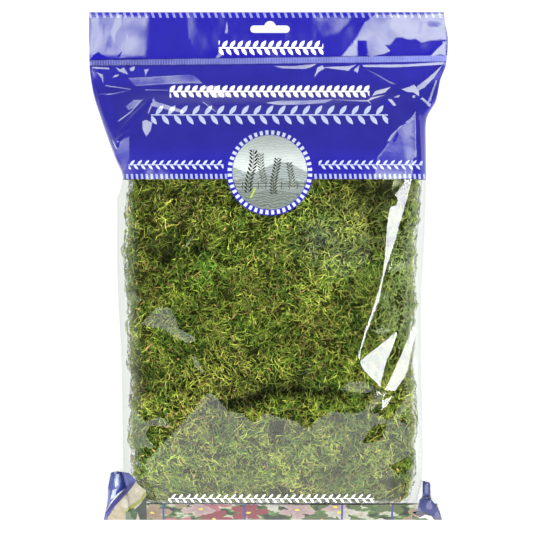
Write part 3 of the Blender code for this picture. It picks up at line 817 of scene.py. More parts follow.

# Most patches are print; two are painted glints on the left ear, and the right ear's blue is darkened as
# painted shade.
PATCHES = (  # printed shapes at the foot's corners: colour levels, then corners as pixels
    ((168, 160, 138), (136, 480), (147, 489), (147, 503), (147, 520), (106, 520), (105, 517)),
    ((150, 138, 104), (113, 506), (128, 508), (127, 520), (106, 520), (105, 517)),
    ((52, 66, 138), (112, 470), (130, 471), (138, 479), (118, 493), (111, 502), (103, 516), (102, 520),
     (101, 515), (108, 489)),
    # painted highlights: two pale glints on the left ear's blue
    ((176, 188, 216), (117, 473), (120, 473), (119, 484), (116, 487), (115, 480)),
    ((176, 188, 216), (113, 489), (117, 488), (116, 496), (111, 499)),
    ((38, 34, 128), (134, 478.5), (137, 480), (127, 493), (116, 505), (108, 517), (108, 520), (103.5, 520),
     (104, 515), (113, 501), (124, 489)),
    ((134, 138, 34), (145, 490), (147, 491), (144, 499), (134, 507), (126, 514), (124, 512), (132, 504),
     (142, 497)),
    ((40, 52, 46), (147, 494), (147, 520), (140, 520), (138, 512), (133, 511), (141, 503)),
    ((52, 80, 36), (126, 512), (134, 507), (138, 512), (136, 520), (126, 520)),
    # the right ear's blue, darkened as painted shade
    ((38, 48, 112), (422, 480), (432, 480), (430, 490), (430, 498), (437, 506), (442, 520), (436, 519),
     (429, 513), (417, 511), (419, 499), (422, 496)),
    ((28, 28, 74), (422, 494.5), (430, 495.5), (431, 498), (421, 496.8)),
    ((24, 28, 60), (412, 512), (417, 510.5), (429, 513), (436, 518), (442, 518), (442, 520), (433, 520),
     (428, 516), (420, 517)),
    ((238, 238, 230), (419, 518), (424.6, 514.5), (431.3, 516), (434, 520), (430, 520), (425, 517.5)),
    ((52, 80, 34), (412, 515), (419, 518), (425, 517.5), (430, 520), (412, 520)),
)


def facet_corners(pixels):
    """The corners of a facet in metres, from pixels of the photograph."""
    return [((px - PHOTO_MIDDLE[0]) * PIXEL, (PHOTO_MIDDLE[1] - py) * PIXEL) for px, py in pixels]


def within(x, y, corners):
    """Which of the points x, y lie inside a closed outline."""
    inside = np.zeros(x.shape, bool)
    for (x0, y0), (x1, y1) in zip(corners, corners[1:] + corners[:1]):
        if y0 == y1:
            continue
        crossing = (y > min(y0, y1)) & (y <= max(y0, y1))
        inside ^= crossing & (x < x0 + (y - y0) * (x1 - x0) / (y1 - y0))
    return inside


def slot_outline():
    """The hanging slot: a bar with round ends and a round bump on its upper side."""
    end = SLOT_BAR / 2
    reach = SLOT_WIDTH / 2 - end
    bump_y = SLOT_HEIGHT - end - SLOT_BUMP_RADIUS
    bump_start = math.acos((end - bump_y) / SLOT_BUMP_RADIUS)
    line = [(-reach + end * math.cos(a), end * math.sin(a)) for a in np.linspace(0.5, 1.5, 13) * math.pi]
    line += [(reach + end * math.cos(a), end * math.sin(a)) for a in np.linspace(-0.5, 0.5, 13) * math.pi]
    for a in np.linspace(bump_start, -bump_start, 15):
        line.append((SLOT_BUMP_RADIUS * math.sin(a), bump_y + SLOT_BUMP_RADIUS * math.cos(a)))
    return [(SLOT_CENTRE[0] + x, SLOT_CENTRE[1] + y) for x, y in line]


def film_rows(row_step, columns, front):
    """Points over the film in plan: rows across the bag, closer together at its bends."""
    rows = []
    for y in np.linspace(TOP_EDGE, FOOT_EDGE, round((TOP_EDGE - FOOT_EDGE) / row_step) + 1):
        left, right = float(along_bag(LEFT_EDGE, y)), float(along_bag(RIGHT_EDGE, y))
        middle, half = (left + right) / 2, (right - left) / 2
        xs = middle + half * np.sin(np.linspace(-math.pi / 2, math.pi / 2, 401))
        zs = film_height(xs, np.full_like(xs, y), front)
        bend = np.abs(np.diff(np.arctan2(np.diff(zs), np.diff(xs)), append=0.0))
        bend[-1] = 0.0
        run = np.append(0.0, np.cumsum(np.hypot(np.diff(xs), np.diff(zs)) + BEND_SHARE * bend))
        line = list(np.interp(np.linspace(0.0, run[-1], columns + 1), run, xs))
        for ear, side in ((LEFT_EAR, -1), (RIGHT_EAR, 1)):
            out = float(along_bag(ear, y))
            start = line[0] if side < 0 else line[-1]
            extra = [start + side * out * k / 10 for k in range(1, 11)] if out > 0.0005 else []
            line = extra[::-1] + line if side < 0 else line + extra
        rows.append([(x, y) for x in line])
    return rows


def film_mesh(row_step, columns, front, outlines):
    """The film in plan as triangles, with the outlines cut into it and the slot left open."""
    rows = film_rows(row_step, columns, front)
    points, edges = [], []
    for row in rows:
        points += row
    firsts = np.cumsum([0] + [len(row) for row in rows])
    for k in range(len(rows) - 1):
        edges.append((firsts[k], firsts[k + 1]))
        edges.append((firsts[k + 1] - 1, firsts[k + 2] - 1))
    edges += [(k, k + 1) for k in range(firsts[0], firsts[1] - 1)]
    edges += [(k, k + 1) for k in range(firsts[-2], firsts[-1] - 1)]
    slot = slot_outline()
    for outline in [slot, *outlines]:
        start = len(points)
        points += outline
        edges += [(start + k, start + (k + 1) % len(outline)) for k in range(len(outline))]
    edges = [(int(a), int(b)) for a, b in edges]
    found = geometry.delaunay_2d_cdt([Vector(p) for p in points], edges, [], 1, 1e-6, False)
    flat = np.array([(v.x, v.y) for v in found[0]])
    faces = np.array(found[2])
    centre = flat[faces].mean(1)
    border = [row[0] for row in rows] + [row[-1] for row in rows[::-1]]
    kept = within(centre[:, 0], centre[:, 1], border) & ~within(centre[:, 0], centre[:, 1], slot)
    faces = faces[kept]
    turned = np.cross(flat[faces[:, 1]] - flat[faces[:, 0]], flat[faces[:, 2]] - flat[faces[:, 0]]) > 0
    faces = np.where((turned == front)[:, None], faces, faces[:, ::-1])
    return flat, faces


FOLD_SHARE_CLOSED = 0.03


def to_fold(x, y):
    """1 on the film's side folds, falling to 0 a little way in from them."""
    left, right = along_bag(LEFT_EDGE, y), along_bag(RIGHT_EDGE, y)
    across = np.abs(2 * x - left - right) / (right - left)
    return np.clip(1 - (1 - across) / FOLD_SHARE_CLOSED, 0.0, 1.0) * (y > LEFT_EAR_START)


def lay_film(name, flat, z, faces, material, node):
    """Makes the film's mesh, with a UV map in metres: x across, and the length along the film."""
    verts = np.column_stack([flat, z])
    used = np.unique(faces)
    fresh = np.full(len(verts), -1)
    fresh[used] = np.arange(len(used))
    piece = place(name, verts[used].tolist(), fresh[faces].tolist(), material, node)
    mesh = piece.data
    ys = np.linspace(FOOT_EDGE, TOP_EDGE, 800)
    crown = film_height(np.zeros_like(ys), ys, True)
    run = np.append(0.0, np.cumsum(np.hypot(np.diff(ys), np.diff(crown))))
    corner = np.empty(len(mesh.loops), int)
    mesh.loops.foreach_get("vertex_index", corner)
    spot = verts[used][corner]
    uv = np.column_stack([spot[:, 0], np.interp(spot[:, 1], ys, run)])
    mesh.uv_layers.new(name="film").data.foreach_set("uv", uv.ravel())
    return piece


def calc(tree, operation, *values):
    """The result of a maths node on sockets or plain values."""
    return step(tree, "ShaderNodeMath", *values, operation=operation).outputs[0]


def new_group(name, inputs, outputs):
    """An empty shader group with float inputs (name: default), and its two end nodes."""
    tree = bpy.data.node_groups.new(name, "ShaderNodeTree")
    for label, value in inputs.items():
        socket = tree.interface.new_socket(label, in_out="INPUT", socket_type="NodeSocketFloat")
        socket.default_value = value
    for label, kind in outputs.items():
        tree.interface.new_socket(label, in_out="OUTPUT", socket_type=kind)
    return tree, tree.nodes.new("NodeGroupInput"), tree.nodes.new("NodeGroupOutput")


def between(tree, value, low, high):
    """1 where a value lies between two limits."""
    above = calc(tree, "GREATER_THAN", value, low)
    return calc(tree, "MULTIPLY", above, calc(tree, "LESS_THAN", value, high))


def any_of(tree, *masks):
    """The strongest of several masks."""
    joined = masks[0]
    for mask in masks[1:]:
        joined = calc(tree, "MAXIMUM", joined, mask)
    return joined


def use_group(tree, group, *values):
    """Puts a shader group into a tree and returns its node, with its inputs filled in order."""
    node = tree.nodes.new("ShaderNodeGroup")
    node.node_tree = group
    for socket, value in zip(node.inputs, values):
        if isinstance(value, bpy.types.NodeSocket):
            tree.links.new(value, socket)
        else:
            socket.default_value = value
    return node


# The print's repeated marks: a row of dashes like stitches, and a row of leaves on a stem. They are
# laid out by a place along the row and a place across it, and printed in white or pale blue.
tree, given, result = new_group(
    "stitches",
    {"Along": 0.0, "Across": 0.0, "Pitch": 0.004, "Share": 0.5, "Height": 0.004, "Slant": 0.0},
    {"Mask": "NodeSocketFloat"},
)
stitches = tree
along, across, pitch, share_in, height_in, slant = given.outputs[:6]
slid = calc(tree, "MULTIPLY_ADD", across, slant, along)
cell = calc(tree, "FRACT", calc(tree, "DIVIDE", slid, pitch))
off_middle = calc(tree, "ABSOLUTE", calc(tree, "SUBTRACT", cell, 0.5))
near = calc(tree, "LESS_THAN", off_middle, calc(tree, "MULTIPLY", share_in, 0.5))
row = calc(tree, "LESS_THAN", calc(tree, "ABSOLUTE", across), calc(tree, "MULTIPLY", height_in, 0.5))
tree.links.new(calc(tree, "MULTIPLY", near, row), result.inputs["Mask"])

tree, given, result = new_group(
    "leaf_row",
    {"Along": 0.0, "Across": 0.0, "Half Length": 0.05, "Pitch": 0.008, "Leaf Length": 0.008,
     "Leaf Width": 0.004, "Lean": 0.8, "Stem": 0.0008},
    {"Mask": "NodeSocketFloat"},
)
leaf_row = tree
along, across, half_length, pitch, leaf_length, leaf_width, lean, stem = given.outputs[:8]
side = calc(tree, "GREATER_THAN", across, 0.0)
height = calc(tree, "ABSOLUTE", across)
shifted = calc(tree, "MULTIPLY_ADD", side, 0.5, calc(tree, "DIVIDE", along, pitch))
cell = calc(tree, "SUBTRACT", calc(tree, "FRACT", shifted), 0.5)
from_middle = calc(tree, "MULTIPLY", cell, pitch)
sine, cosine = calc(tree, "SINE", lean), calc(tree, "COSINE", lean)
centre = calc(tree, "MULTIPLY", calc(tree, "MULTIPLY", leaf_length, 0.5), sine)
above = calc(tree, "SUBTRACT", height, centre)
down_leaf = calc(tree, "MULTIPLY_ADD", from_middle, cosine, calc(tree, "MULTIPLY", above, sine))
leaning = calc(tree, "MULTIPLY", from_middle, sine)
over_leaf = calc(tree, "SUBTRACT", calc(tree, "MULTIPLY", above, cosine), leaning)
reach = calc(tree, "DIVIDE", calc(tree, "MULTIPLY", down_leaf, 2.0), leaf_length)
width_here = calc(tree, "SUBTRACT", 1.0, calc(tree, "MULTIPLY", reach, reach))
edge = calc(tree, "MULTIPLY", calc(tree, "MULTIPLY", leaf_width, 0.5), width_here)
leaf = calc(tree, "LESS_THAN", calc(tree, "ABSOLUTE", over_leaf), edge)
line = calc(tree, "LESS_THAN", height, calc(tree, "MULTIPLY", stem, 0.5))
inside = calc(tree, "LESS_THAN", calc(tree, "ABSOLUTE", along), half_length)
tree.links.new(calc(tree, "MULTIPLY", any_of(tree, leaf, line), inside), result.inputs["Mask"])

# Flowers for the foot panels: five petals round an eye, at random places and in random colours, over
# leaves and earth. A noise pushes every edge about, so they read as painted by hand.
PETAL_HUES = (  # where each hue starts, from 0 to 1, so the gap to the next is its share of the flowers
    (0.0, (178, 176, 166)),
    (0.22, (160, 88, 100)),
    (0.36, (126, 32, 54)),
    (0.46, (138, 120, 96)),
    (0.56, (54, 88, 32)),
    (0.84, (168, 144, 144)),
)
GROUND_HUES = ((0.40, (8, 16, 6)), (0.47, (30, 58, 14)), (0.53, (80, 106, 40)), (0.58, (168, 166, 154)),
               (0.66, (144, 126, 98)))


def ramp(tree, factor, hues, interpolation):
    """Colours picked by a factor from (place, levels) pairs."""
    node = tree.nodes.new("ShaderNodeValToRGB")
    node.color_ramp.interpolation = interpolation
    stops = node.color_ramp.elements
    for k, (at, levels) in enumerate(hues):
        stop = stops[k] if k < 2 else stops.new(at)
        stop.position = at
        stop.color = (*srgb(*levels), 1.0)
    tree.links.new(factor, node.inputs["Fac"])
    return node.outputs["Color"]


tree, given, result = new_group(
    "blossoms", {"Across": 0.0, "Along": 0.0, "Size": 0.014}, {"Colour": "NodeSocketColor"}
)
blossoms = tree
spot = step(tree, "ShaderNodeCombineXYZ", given.outputs["Across"], given.outputs["Along"])
brush = step(tree, "ShaderNodeTexNoise", spot.outputs[0], None, 260.0, 3.0)
pushed = step(tree, "ShaderNodeVectorMath", brush.outputs["Color"], (0.5, 0.5, 0.5), operation="SUBTRACT")
pushed = step(tree, "ShaderNodeVectorMath", pushed.outputs[0], (0.006, 0.006, 0.0), operation="MULTIPLY")
spot = step(tree, "ShaderNodeVectorMath", spot.outputs[0], pushed.outputs[0], operation="ADD")
scale = calc(tree, "DIVIDE", 1.0, given.outputs["Size"])
cells = tree.nodes.new("ShaderNodeTexVoronoi")
cells.voronoi_dimensions = "2D"
tree.links.new(spot.outputs[0], cells.inputs["Vector"])
tree.links.new(scale, cells.inputs["Scale"])
offset = step(tree, "ShaderNodeVectorMath", spot.outputs[0], cells.outputs["Position"], operation="SUBTRACT")
parts = step(tree, "ShaderNodeSeparateXYZ", offset.outputs[0])
angle = calc(tree, "ARCTAN2", parts.outputs[1], parts.outputs[0])
chance = step(tree, "ShaderNodeSeparateColor", cells.outputs["Color"])
turned = calc(tree, "MULTIPLY_ADD", angle, 2.5, calc(tree, "MULTIPLY", chance.outputs[1], 6.0))
lobes = calc(tree, "MULTIPLY_ADD", calc(tree, "ABSOLUTE", calc(tree, "COSINE", turned)), 0.34, 0.26)
petal = calc(tree, "LESS_THAN", cells.outputs["Distance"], lobes)
eye = calc(tree, "LESS_THAN", cells.outputs["Distance"], 0.07)
petal_hues = ramp(tree, chance.outputs[0], PETAL_HUES, "CONSTANT")
ground = step(tree, "ShaderNodeTexNoise", spot.outputs[0], None, 70.0, 4.0, None, None, 1.5)
broad_leaves = ramp(tree, ground.outputs["Fac"], GROUND_HUES, "LINEAR")
vein = calc(tree, "ABSOLUTE", calc(tree, "SINE", calc(tree, "MULTIPLY", angle, 15.0)))
vein = calc(tree, "MULTIPLY", vein, 0.22)
to_rim = calc(tree, "DIVIDE", cells.outputs["Distance"], lobes)
paler_out = calc(tree, "MULTIPLY_ADD", to_rim, 0.55, 0.45)
shade = calc(tree, "SUBTRACT", paler_out, calc(tree, "MULTIPLY", vein, to_rim))
petals = tint(tree, shade, (0.10, 0.04, 0.03), petal_hues)
bloom = tint(tree, petal, broad_leaves, petals)
tree.links.new(tint(tree, eye, bloom, srgb(196, 176, 60)), result.inputs["Colour"])

# The whole print: the blue header with its pressed seal, the round badge, and the panels of flowers at
# the foot. The inks are opaque and lie on the film's outside. Where there is none the film is clear.
# The seal's paler patches and its light ribs, and a few patches on the ears, are painted light, not print.
HEADER_FOOT = 0.0693
SEAL_TOP = 0.1678
SEAL_FOOT = 0.1628
SEAL_TILT = 0.0127
SEAL_LINE = 0.0006
SEAL_RIB_PITCH = 0.0013
HEM_Y = 0.0713
HEM_PITCH = 0.00395
TOP_HEM_Y = 0.2022
TOP_HEM_PITCH = 0.00564
BADGE = (0.00113, 0.0746)
BADGE_RADIUS = 0.0344
BADGE_PICTURE_RADIUS = 0.0298
BADGE_DASHES = 44
BADGE_DASH_RADIUS = 0.0320
HATCH_PITCH = 0.0023
HATCH_SHARE = 0.36
HATCH_WOBBLE = 0.0090
FOOT_STRIP_TOP = -0.1910
ROWS = (  # centre x, centre y, half length, pitch, leaf length, leaf width, lean, stem, tint
    (0.0021, 0.1757, 0.0420, 0.0062, 0.0072, 0.0030, 0.95, 0.0011, (250, 250, 252)),
    (0.0009, 0.1402, 0.0802, 0.0060, 0.0066, 0.0034, 0.85, 0.0012, (250, 250, 252)),
    (0.0009, 0.1209, 0.0947, 0.0098, 0.0098, 0.0036, 0.92, 0.0009, (186, 196, 240)),
    (-0.0736, 0.0806, 0.0378, 0.0058, 0.0052, 0.0019, 0.80, 0.0006, (190, 196, 230)),
    (0.0815, 0.0806, 0.0415, 0.0058, 0.0052, 0.0019, 0.80, 0.0006, (180, 186, 222)),
    (0.0020, -0.1862, 0.0820, 0.0060, 0.0050, 0.0016, 0.80, 0.0005, (226, 230, 222)),
)
PANEL_BARS = (-0.0844, -0.0189, 0.0592, 0.0995)
HALF_BAR = 0.0008
BLOSSOM_SIZE = 0.0270
tree, given, result = new_group(
    "film_print", {}, {"Ink": "NodeSocketFloat", "Colour": "NodeSocketColor", "Height": "NodeSocketFloat"}
)
film_print = tree
coords = tree.nodes.new("ShaderNodeTexCoord")
spot = step(tree, "ShaderNodeSeparateXYZ", coords.outputs["Object"])
x, y = spot.outputs[0], spot.outputs[1]
mottle = step(tree, "ShaderNodeTexNoise", coords.outputs["Object"], None, 60.0, 5.0)
header = calc(tree, "GREATER_THAN", y, HEADER_FOOT)
up_seal = calc(tree, "MULTIPLY_ADD", x, -SEAL_TILT, y)
above_seal = calc(tree, "GREATER_THAN", up_seal, SEAL_FOOT)
lower_blue = tint(tree, mottle.outputs["Fac"], srgb(23, 20, 134), srgb(36, 32, 156))
upper_blue = tint(tree, mottle.outputs["Fac"], srgb(19, 13, 138), srgb(28, 21, 155))
colour = tint(tree, above_seal, lower_blue, upper_blue)
seal = between(tree, up_seal, SEAL_FOOT, SEAL_TOP)
seal_middle = calc(tree, "SUBTRACT", up_seal, (SEAL_FOOT + SEAL_TOP) / 2)
ribs = use_group(tree, stitches, x, seal_middle, SEAL_RIB_PITCH, 0.5, 0.0042, 0.0)
# The seal's blue, patchy between dark and pale and paler towards the right: partly the pressed seal's own
# tone, partly painted sheen
seal_tone_and_sheen = step(tree, "ShaderNodeTexNoise", coords.outputs["Object"], None, 140.0, 4.0)
seal_sheen_share = calc(tree, "MULTIPLY_ADD", x, 3.4, seal_tone_and_sheen.outputs["Fac"])
colour = tint(tree, seal, colour, tint(tree, seal_sheen_share, srgb(20, 18, 112), srgb(104, 110, 184)))
# Painted highlights: the seal's ribs lightened, as if catching the light
colour = tint(tree, calc(tree, "MULTIPLY", ribs.outputs[0], 0.42), colour, srgb(156, 162, 224))
seal_edges = any_of(
    tree,
    between(tree, up_seal, SEAL_TOP, SEAL_TOP + SEAL_LINE),
    between(tree, up_seal, SEAL_FOOT - SEAL_LINE, SEAL_FOOT),
)
colour = tint(tree, calc(tree, "MULTIPLY", seal_edges, 0.7), colour, srgb(16, 12, 92))
for middle, centre_y, half, pitch, leaf_size, leaf_wide, lean, stem, levels in ROWS:
    mark = use_group(
        tree, leaf_row, calc(tree, "SUBTRACT", x, middle), calc(tree, "SUBTRACT", y, centre_y),
        half, pitch, leaf_size, leaf_wide, lean, stem,
    )
    colour = tint(tree, mark.outputs[0], colour, srgb(*levels))
foot_row = mark.outputs[0]
up_hem = calc(tree, "SUBTRACT", y, HEM_Y)
hem = use_group(tree, stitches, x, up_hem, HEM_PITCH, 0.47, 0.0040, 0.12)
up_top_hem = calc(tree, "SUBTRACT", y, TOP_HEM_Y)
top_hem = use_group(tree, stitches, x, up_top_hem, TOP_HEM_PITCH, 0.36, 0.0042, 0.35)
colour = tint(tree, hem.outputs[0], colour, srgb(152, 158, 214))
colour = tint(tree, top_hem.outputs[0], colour, srgb(126, 130, 204))

from_badge_x = calc(tree, "SUBTRACT", x, BADGE[0])
from_badge_y = calc(tree, "SUBTRACT", y, BADGE[1])
rise_squared = calc(tree, "MULTIPLY", from_badge_y, from_badge_y)
radius_out = calc(tree, "SQRT", calc(tree, "MULTIPLY_ADD", from_badge_x, from_badge_x, rise_squared))
badge = calc(tree, "LESS_THAN", radius_out, BADGE_RADIUS)
picture = calc(tree, "LESS_THAN", radius_out, BADGE_PICTURE_RADIUS)
bearing = calc(tree, "ARCTAN2", from_badge_y, from_badge_x)
round_badge = calc(tree, "MULTIPLY", bearing, BADGE_DASHES / (2 * math.pi))
out_of_ring = calc(tree, "SUBTRACT", radius_out, BADGE_DASH_RADIUS)
ring = use_group(tree, stitches, round_badge, out_of_ring, 1.0, 0.52, 0.0034, 0.0)
# A made-up country scene in greys, hatched like an engraving: clouds, three hills, a fence and sprigs
grain = step(tree, "ShaderNodeTexNoise", coords.outputs["Object"], None, 620.0, 4.0)
clouds = step(tree, "ShaderNodeTexNoise", coords.outputs["Object"], None, 110.0, 3.0)
wobble = calc(tree, "MULTIPLY_ADD", clouds.outputs["Fac"], HATCH_WOBBLE, from_badge_y)
hatched = calc(tree, "FRACT", calc(tree, "DIVIDE", wobble, HATCH_PITCH))
hatching = calc(tree, "MULTIPLY", calc(tree, "LESS_THAN", hatched, HATCH_SHARE), grain.outputs["Fac"])
up_sky = step(tree, "ShaderNodeMapRange", from_badge_y, 0.0060, 0.0280, 0.0, 1.0).outputs[0]
sky_colour = tint(tree, up_sky, srgb(214, 220, 222), srgb(142, 152, 154))
sky_colour = tint(tree, clouds.outputs["Fac"], sky_colour, srgb(168, 177, 180))
scene_colour = tint(tree, calc(tree, "MULTIPLY", hatching, 0.5), sky_colour, srgb(116, 126, 128))
for rise, width, phase, base, dark, pale in (
    (0.0042, 0.0080, 0.4, 0.0040, (126, 136, 138), (168, 177, 180)),
    (0.0030, 0.0110, 2.1, -0.0050, (104, 113, 114), (150, 158, 158)),
    (0.0012, 0.0050, 1.0, -0.0150, (76, 86, 82), (136, 146, 142)),
):
    wave = calc(tree, "SINE", calc(tree, "MULTIPLY_ADD", from_badge_x, 1 / width, phase))
    edge = calc(tree, "MULTIPLY_ADD", wave, rise, base)
    hill = calc(tree, "LESS_THAN", from_badge_y, edge)
    texture = tint(tree, grain.outputs["Fac"], srgb(*dark), srgb(*pale))
    texture = tint(tree, hatching, texture, srgb(*(0.62 * level for level in dark)))
    scene_colour = tint(tree, hill, scene_colour, texture)
rails = any_of(
    tree, between(tree, from_badge_y, -0.0092, -0.0086), between(tree, from_badge_y, -0.0118, -0.0112)
)
up_fence = calc(tree, "ADD", from_badge_y, 0.0104)
posts = use_group(tree, stitches, from_badge_x, up_fence, 0.0062, 0.12, 0.0060, 0.0)
scene_colour = tint(tree, any_of(tree, rails, posts.outputs[0]), scene_colour, srgb(66, 74, 70))
for stand_x, stand_y, tall, leaf_size, leaf_wide, lean, sway, levels in (
    (-0.0150, 0.0010, 0.0170, 0.0060, 0.0014, 0.70, 0.0022, (34, 40, 36)),
    (-0.0060, 0.0030, 0.0120, 0.0044, 0.0011, 0.85, -0.0016, (74, 82, 76)),
    (0.0045, -0.0030, 0.0145, 0.0050, 0.0013, 0.75, 0.0018, (44, 50, 46)),
    (0.0165, -0.0020, 0.0100, 0.0046, 0.0012, 0.70, -0.0014, (66, 74, 68)),
):
    bend = calc(tree, "SINE", calc(tree, "MULTIPLY", from_badge_y, 130.0))
    swayed = calc(tree, "MULTIPLY", bend, sway)
    off_stem = calc(tree, "SUBTRACT", calc(tree, "SUBTRACT", from_badge_x, stand_x), swayed)
    sprig = use_group(
        tree, leaf_row, calc(tree, "SUBTRACT", from_badge_y, stand_y), off_stem,
        tall, leaf_size * 0.5, leaf_size, leaf_wide, lean, 0.0004,
    )
    scene_colour = tint(tree, sprig.outputs[0], scene_colour, srgb(*levels))
# One yellow-green blade of grass before the fence, the scene's only colour
blade_way = calc(tree, "MULTIPLY_ADD", from_badge_y, -0.45, calc(tree, "ADD", from_badge_x, 0.0060))
blade = between(tree, from_badge_y, -0.0205, -0.0125)
blade = calc(tree, "MULTIPLY", between(tree, blade_way, -0.0007, 0.0007), blade)
scene_colour = tint(tree, blade, scene_colour, srgb(152, 176, 44))
colour = tint(tree, badge, colour, srgb(36, 32, 150))
colour = tint(tree, calc(tree, "MULTIPLY", badge, ring.outputs[0]), colour, srgb(186, 192, 218))
colour = tint(tree, picture, colour, scene_colour)

strip = calc(tree, "LESS_THAN", y, FOOT_STRIP_TOP)
film_uv = tree.nodes.new("ShaderNodeUVMap")
film_uv.uv_map = "film"
film_at = step(tree, "ShaderNodeSeparateXYZ", film_uv.outputs[0])
garden = use_group(tree, blossoms, film_at.outputs[0], film_at.outputs[1], BLOSSOM_SIZE)
colour = tint(tree, strip, colour, tint(tree, 1.0, garden.outputs[0], (0.78, 0.82, 0.80), "MULTIPLY"))
bars = any_of(tree, *(between(tree, x, bar_x - HALF_BAR, bar_x + HALF_BAR) for bar_x in PANEL_BARS))
colour = tint(tree, calc(tree, "MULTIPLY", bars, strip), colour, srgb(30, 40, 110))
# The foot's patches: print, with painted glints and painted shade on the ears
patch = step(tree, "ShaderNodeAttribute", attribute_name="patch")
worn = step(tree, "ShaderNodeTexNoise", coords.outputs["Object"], None, 300.0, 4.0)
worn_patch = tint(tree, worn.outputs["Fac"], patch.outputs["Color"], (0.36, 0.38, 0.42), "MULTIPLY")
colour = tint(tree, patch.outputs["Alpha"], colour, worn_patch)
ink = any_of(tree, header, badge, strip, patch.outputs["Alpha"], foot_row)
tree.links.new(ink, result.inputs["Ink"])
tree.links.new(colour, result.inputs["Colour"])
tree.links.new(ribs.outputs[0], result.inputs["Height"])

# The film's finish. Where it has no ink, the shader is a mirror, and see_through below thins that to
# the faint shine of clear film.
printed_film, tree, shader, output = new_material("printed_film")
inked = use_group(tree, film_print)
place_in = tree.nodes.new("ShaderNodeTexCoord").outputs["Object"]
film_colour = tint(tree, inked.outputs["Ink"], (0.97, 0.99, 0.98), inked.outputs["Colour"])
tree.links.new(film_colour, shader.inputs["Base Color"])
tree.links.new(calc(tree, "SUBTRACT", 1.0, inked.outputs["Ink"]), shader.inputs["Metallic"])
tree.links.new(calc(tree, "MULTIPLY_ADD", inked.outputs["Ink"], 0.10, 0.06), shader.inputs["Roughness"])
shader.inputs["IOR"].default_value = 1.6
ripple = step(tree, "ShaderNodeTexNoise", place_in, None, 45.0, 3.0)
press = step(tree, "ShaderNodeBump")
press.inputs["Strength"].default_value = 0.5
press.inputs["Distance"].default_value = 0.00015
tree.links.new(inked.outputs["Height"], press.inputs["Height"])
slack = step(tree, "ShaderNodeBump")
slack.inputs["Strength"].default_value = 0.3
slack.inputs["Distance"].default_value = 0.0008
tree.links.new(ripple.outputs["Fac"], slack.inputs["Height"])
tree.links.new(press.outputs["Normal"], slack.inputs["Normal"])
tree.links.new(slack.outputs["Normal"], shader.inputs["Normal"])


FACE_SHINE = 0.030
EDGE_SHINE = 0.90
FACE_TINT = (0.925, 0.935, 0.920)
EDGE_TINT = (0.84, 0.86, 0.85)


def see_through(tree, shader, output, ink):
    """Mixes a clear view with the film's mirror shine, which grows towards the edges."""
    facing = tree.nodes.new("ShaderNodeLayerWeight")
    edge = calc(tree, "POWER", facing.outputs["Facing"], 7.0)
    shine = calc(tree, "MULTIPLY_ADD", edge, EDGE_SHINE, FACE_SHINE)
    clear = tree.nodes.new("ShaderNodeBsdfTransparent")
    slanted = calc(tree, "POWER", facing.outputs["Facing"], 1.5)
    tree.links.new(tint(tree, slanted, FACE_TINT, EDGE_TINT), clear.inputs["Color"])
    blend = tree.nodes.new("ShaderNodeMixShader")
    tree.links.new(any_of(tree, shine, ink), blend.inputs[0])
    tree.links.new(clear.outputs[0], blend.inputs[1])
    tree.links.new(shader.outputs[0], blend.inputs[2])
    tree.links.new(blend.outputs[0], output.inputs["Surface"])


see_through(tree, shader, output, inked.outputs["Ink"])

CREASES = (  # from x, y to x, y in pixels of the photograph, then height and half width in metres
    (118, 143, 131, 130, 0.0012, 0.0016),
    (118, 138, 151, 101, 0.0010, 0.0018),
    (203, 103, 217, 113, 0.0005, 0.0012),
    (365, 69, 397, 88, 0.0006, 0.0012),
    (421, 96, 442, 64, 0.0012, 0.0018),
    (424, 107, 440, 66, 0.0008, 0.0014),
    (417, 110, 419, 180, 0.0010, 0.0020),
    (416, 190, 417, 400, 0.0008, 0.0022),
    (127, 200, 126, 400, 0.0006, 0.0020),
    (137, 479, 104, 518, 0.0016, 0.0022),
    (130, 472, 147, 492, 0.0022, 0.0018),
    (147, 488, 157, 506, 0.0020, 0.0018),
    (418, 500, 414, 512, 0.0016, 0.0014),
)
GATHER_PITCH = 0.0115
GATHER_HEIGHT = 0.0005
GATHER_LENGTH = 0.016
HEADER_WAVE = 0.00022
SLACK_WAVE = 0.00025
BULGES = (  # centre and half sizes in pixels of the photograph, then height in metres
    (118, 482, 7, 9, 0.0030),
    (134, 492, 8, 8, 0.0040),
    (117, 511, 8, 6, 0.0015),
    (426, 487, 5, 8, 0.0030),
    (429, 505, 8, 8, 0.0045),
    (422, 517, 8, 3, 0.0015),
)


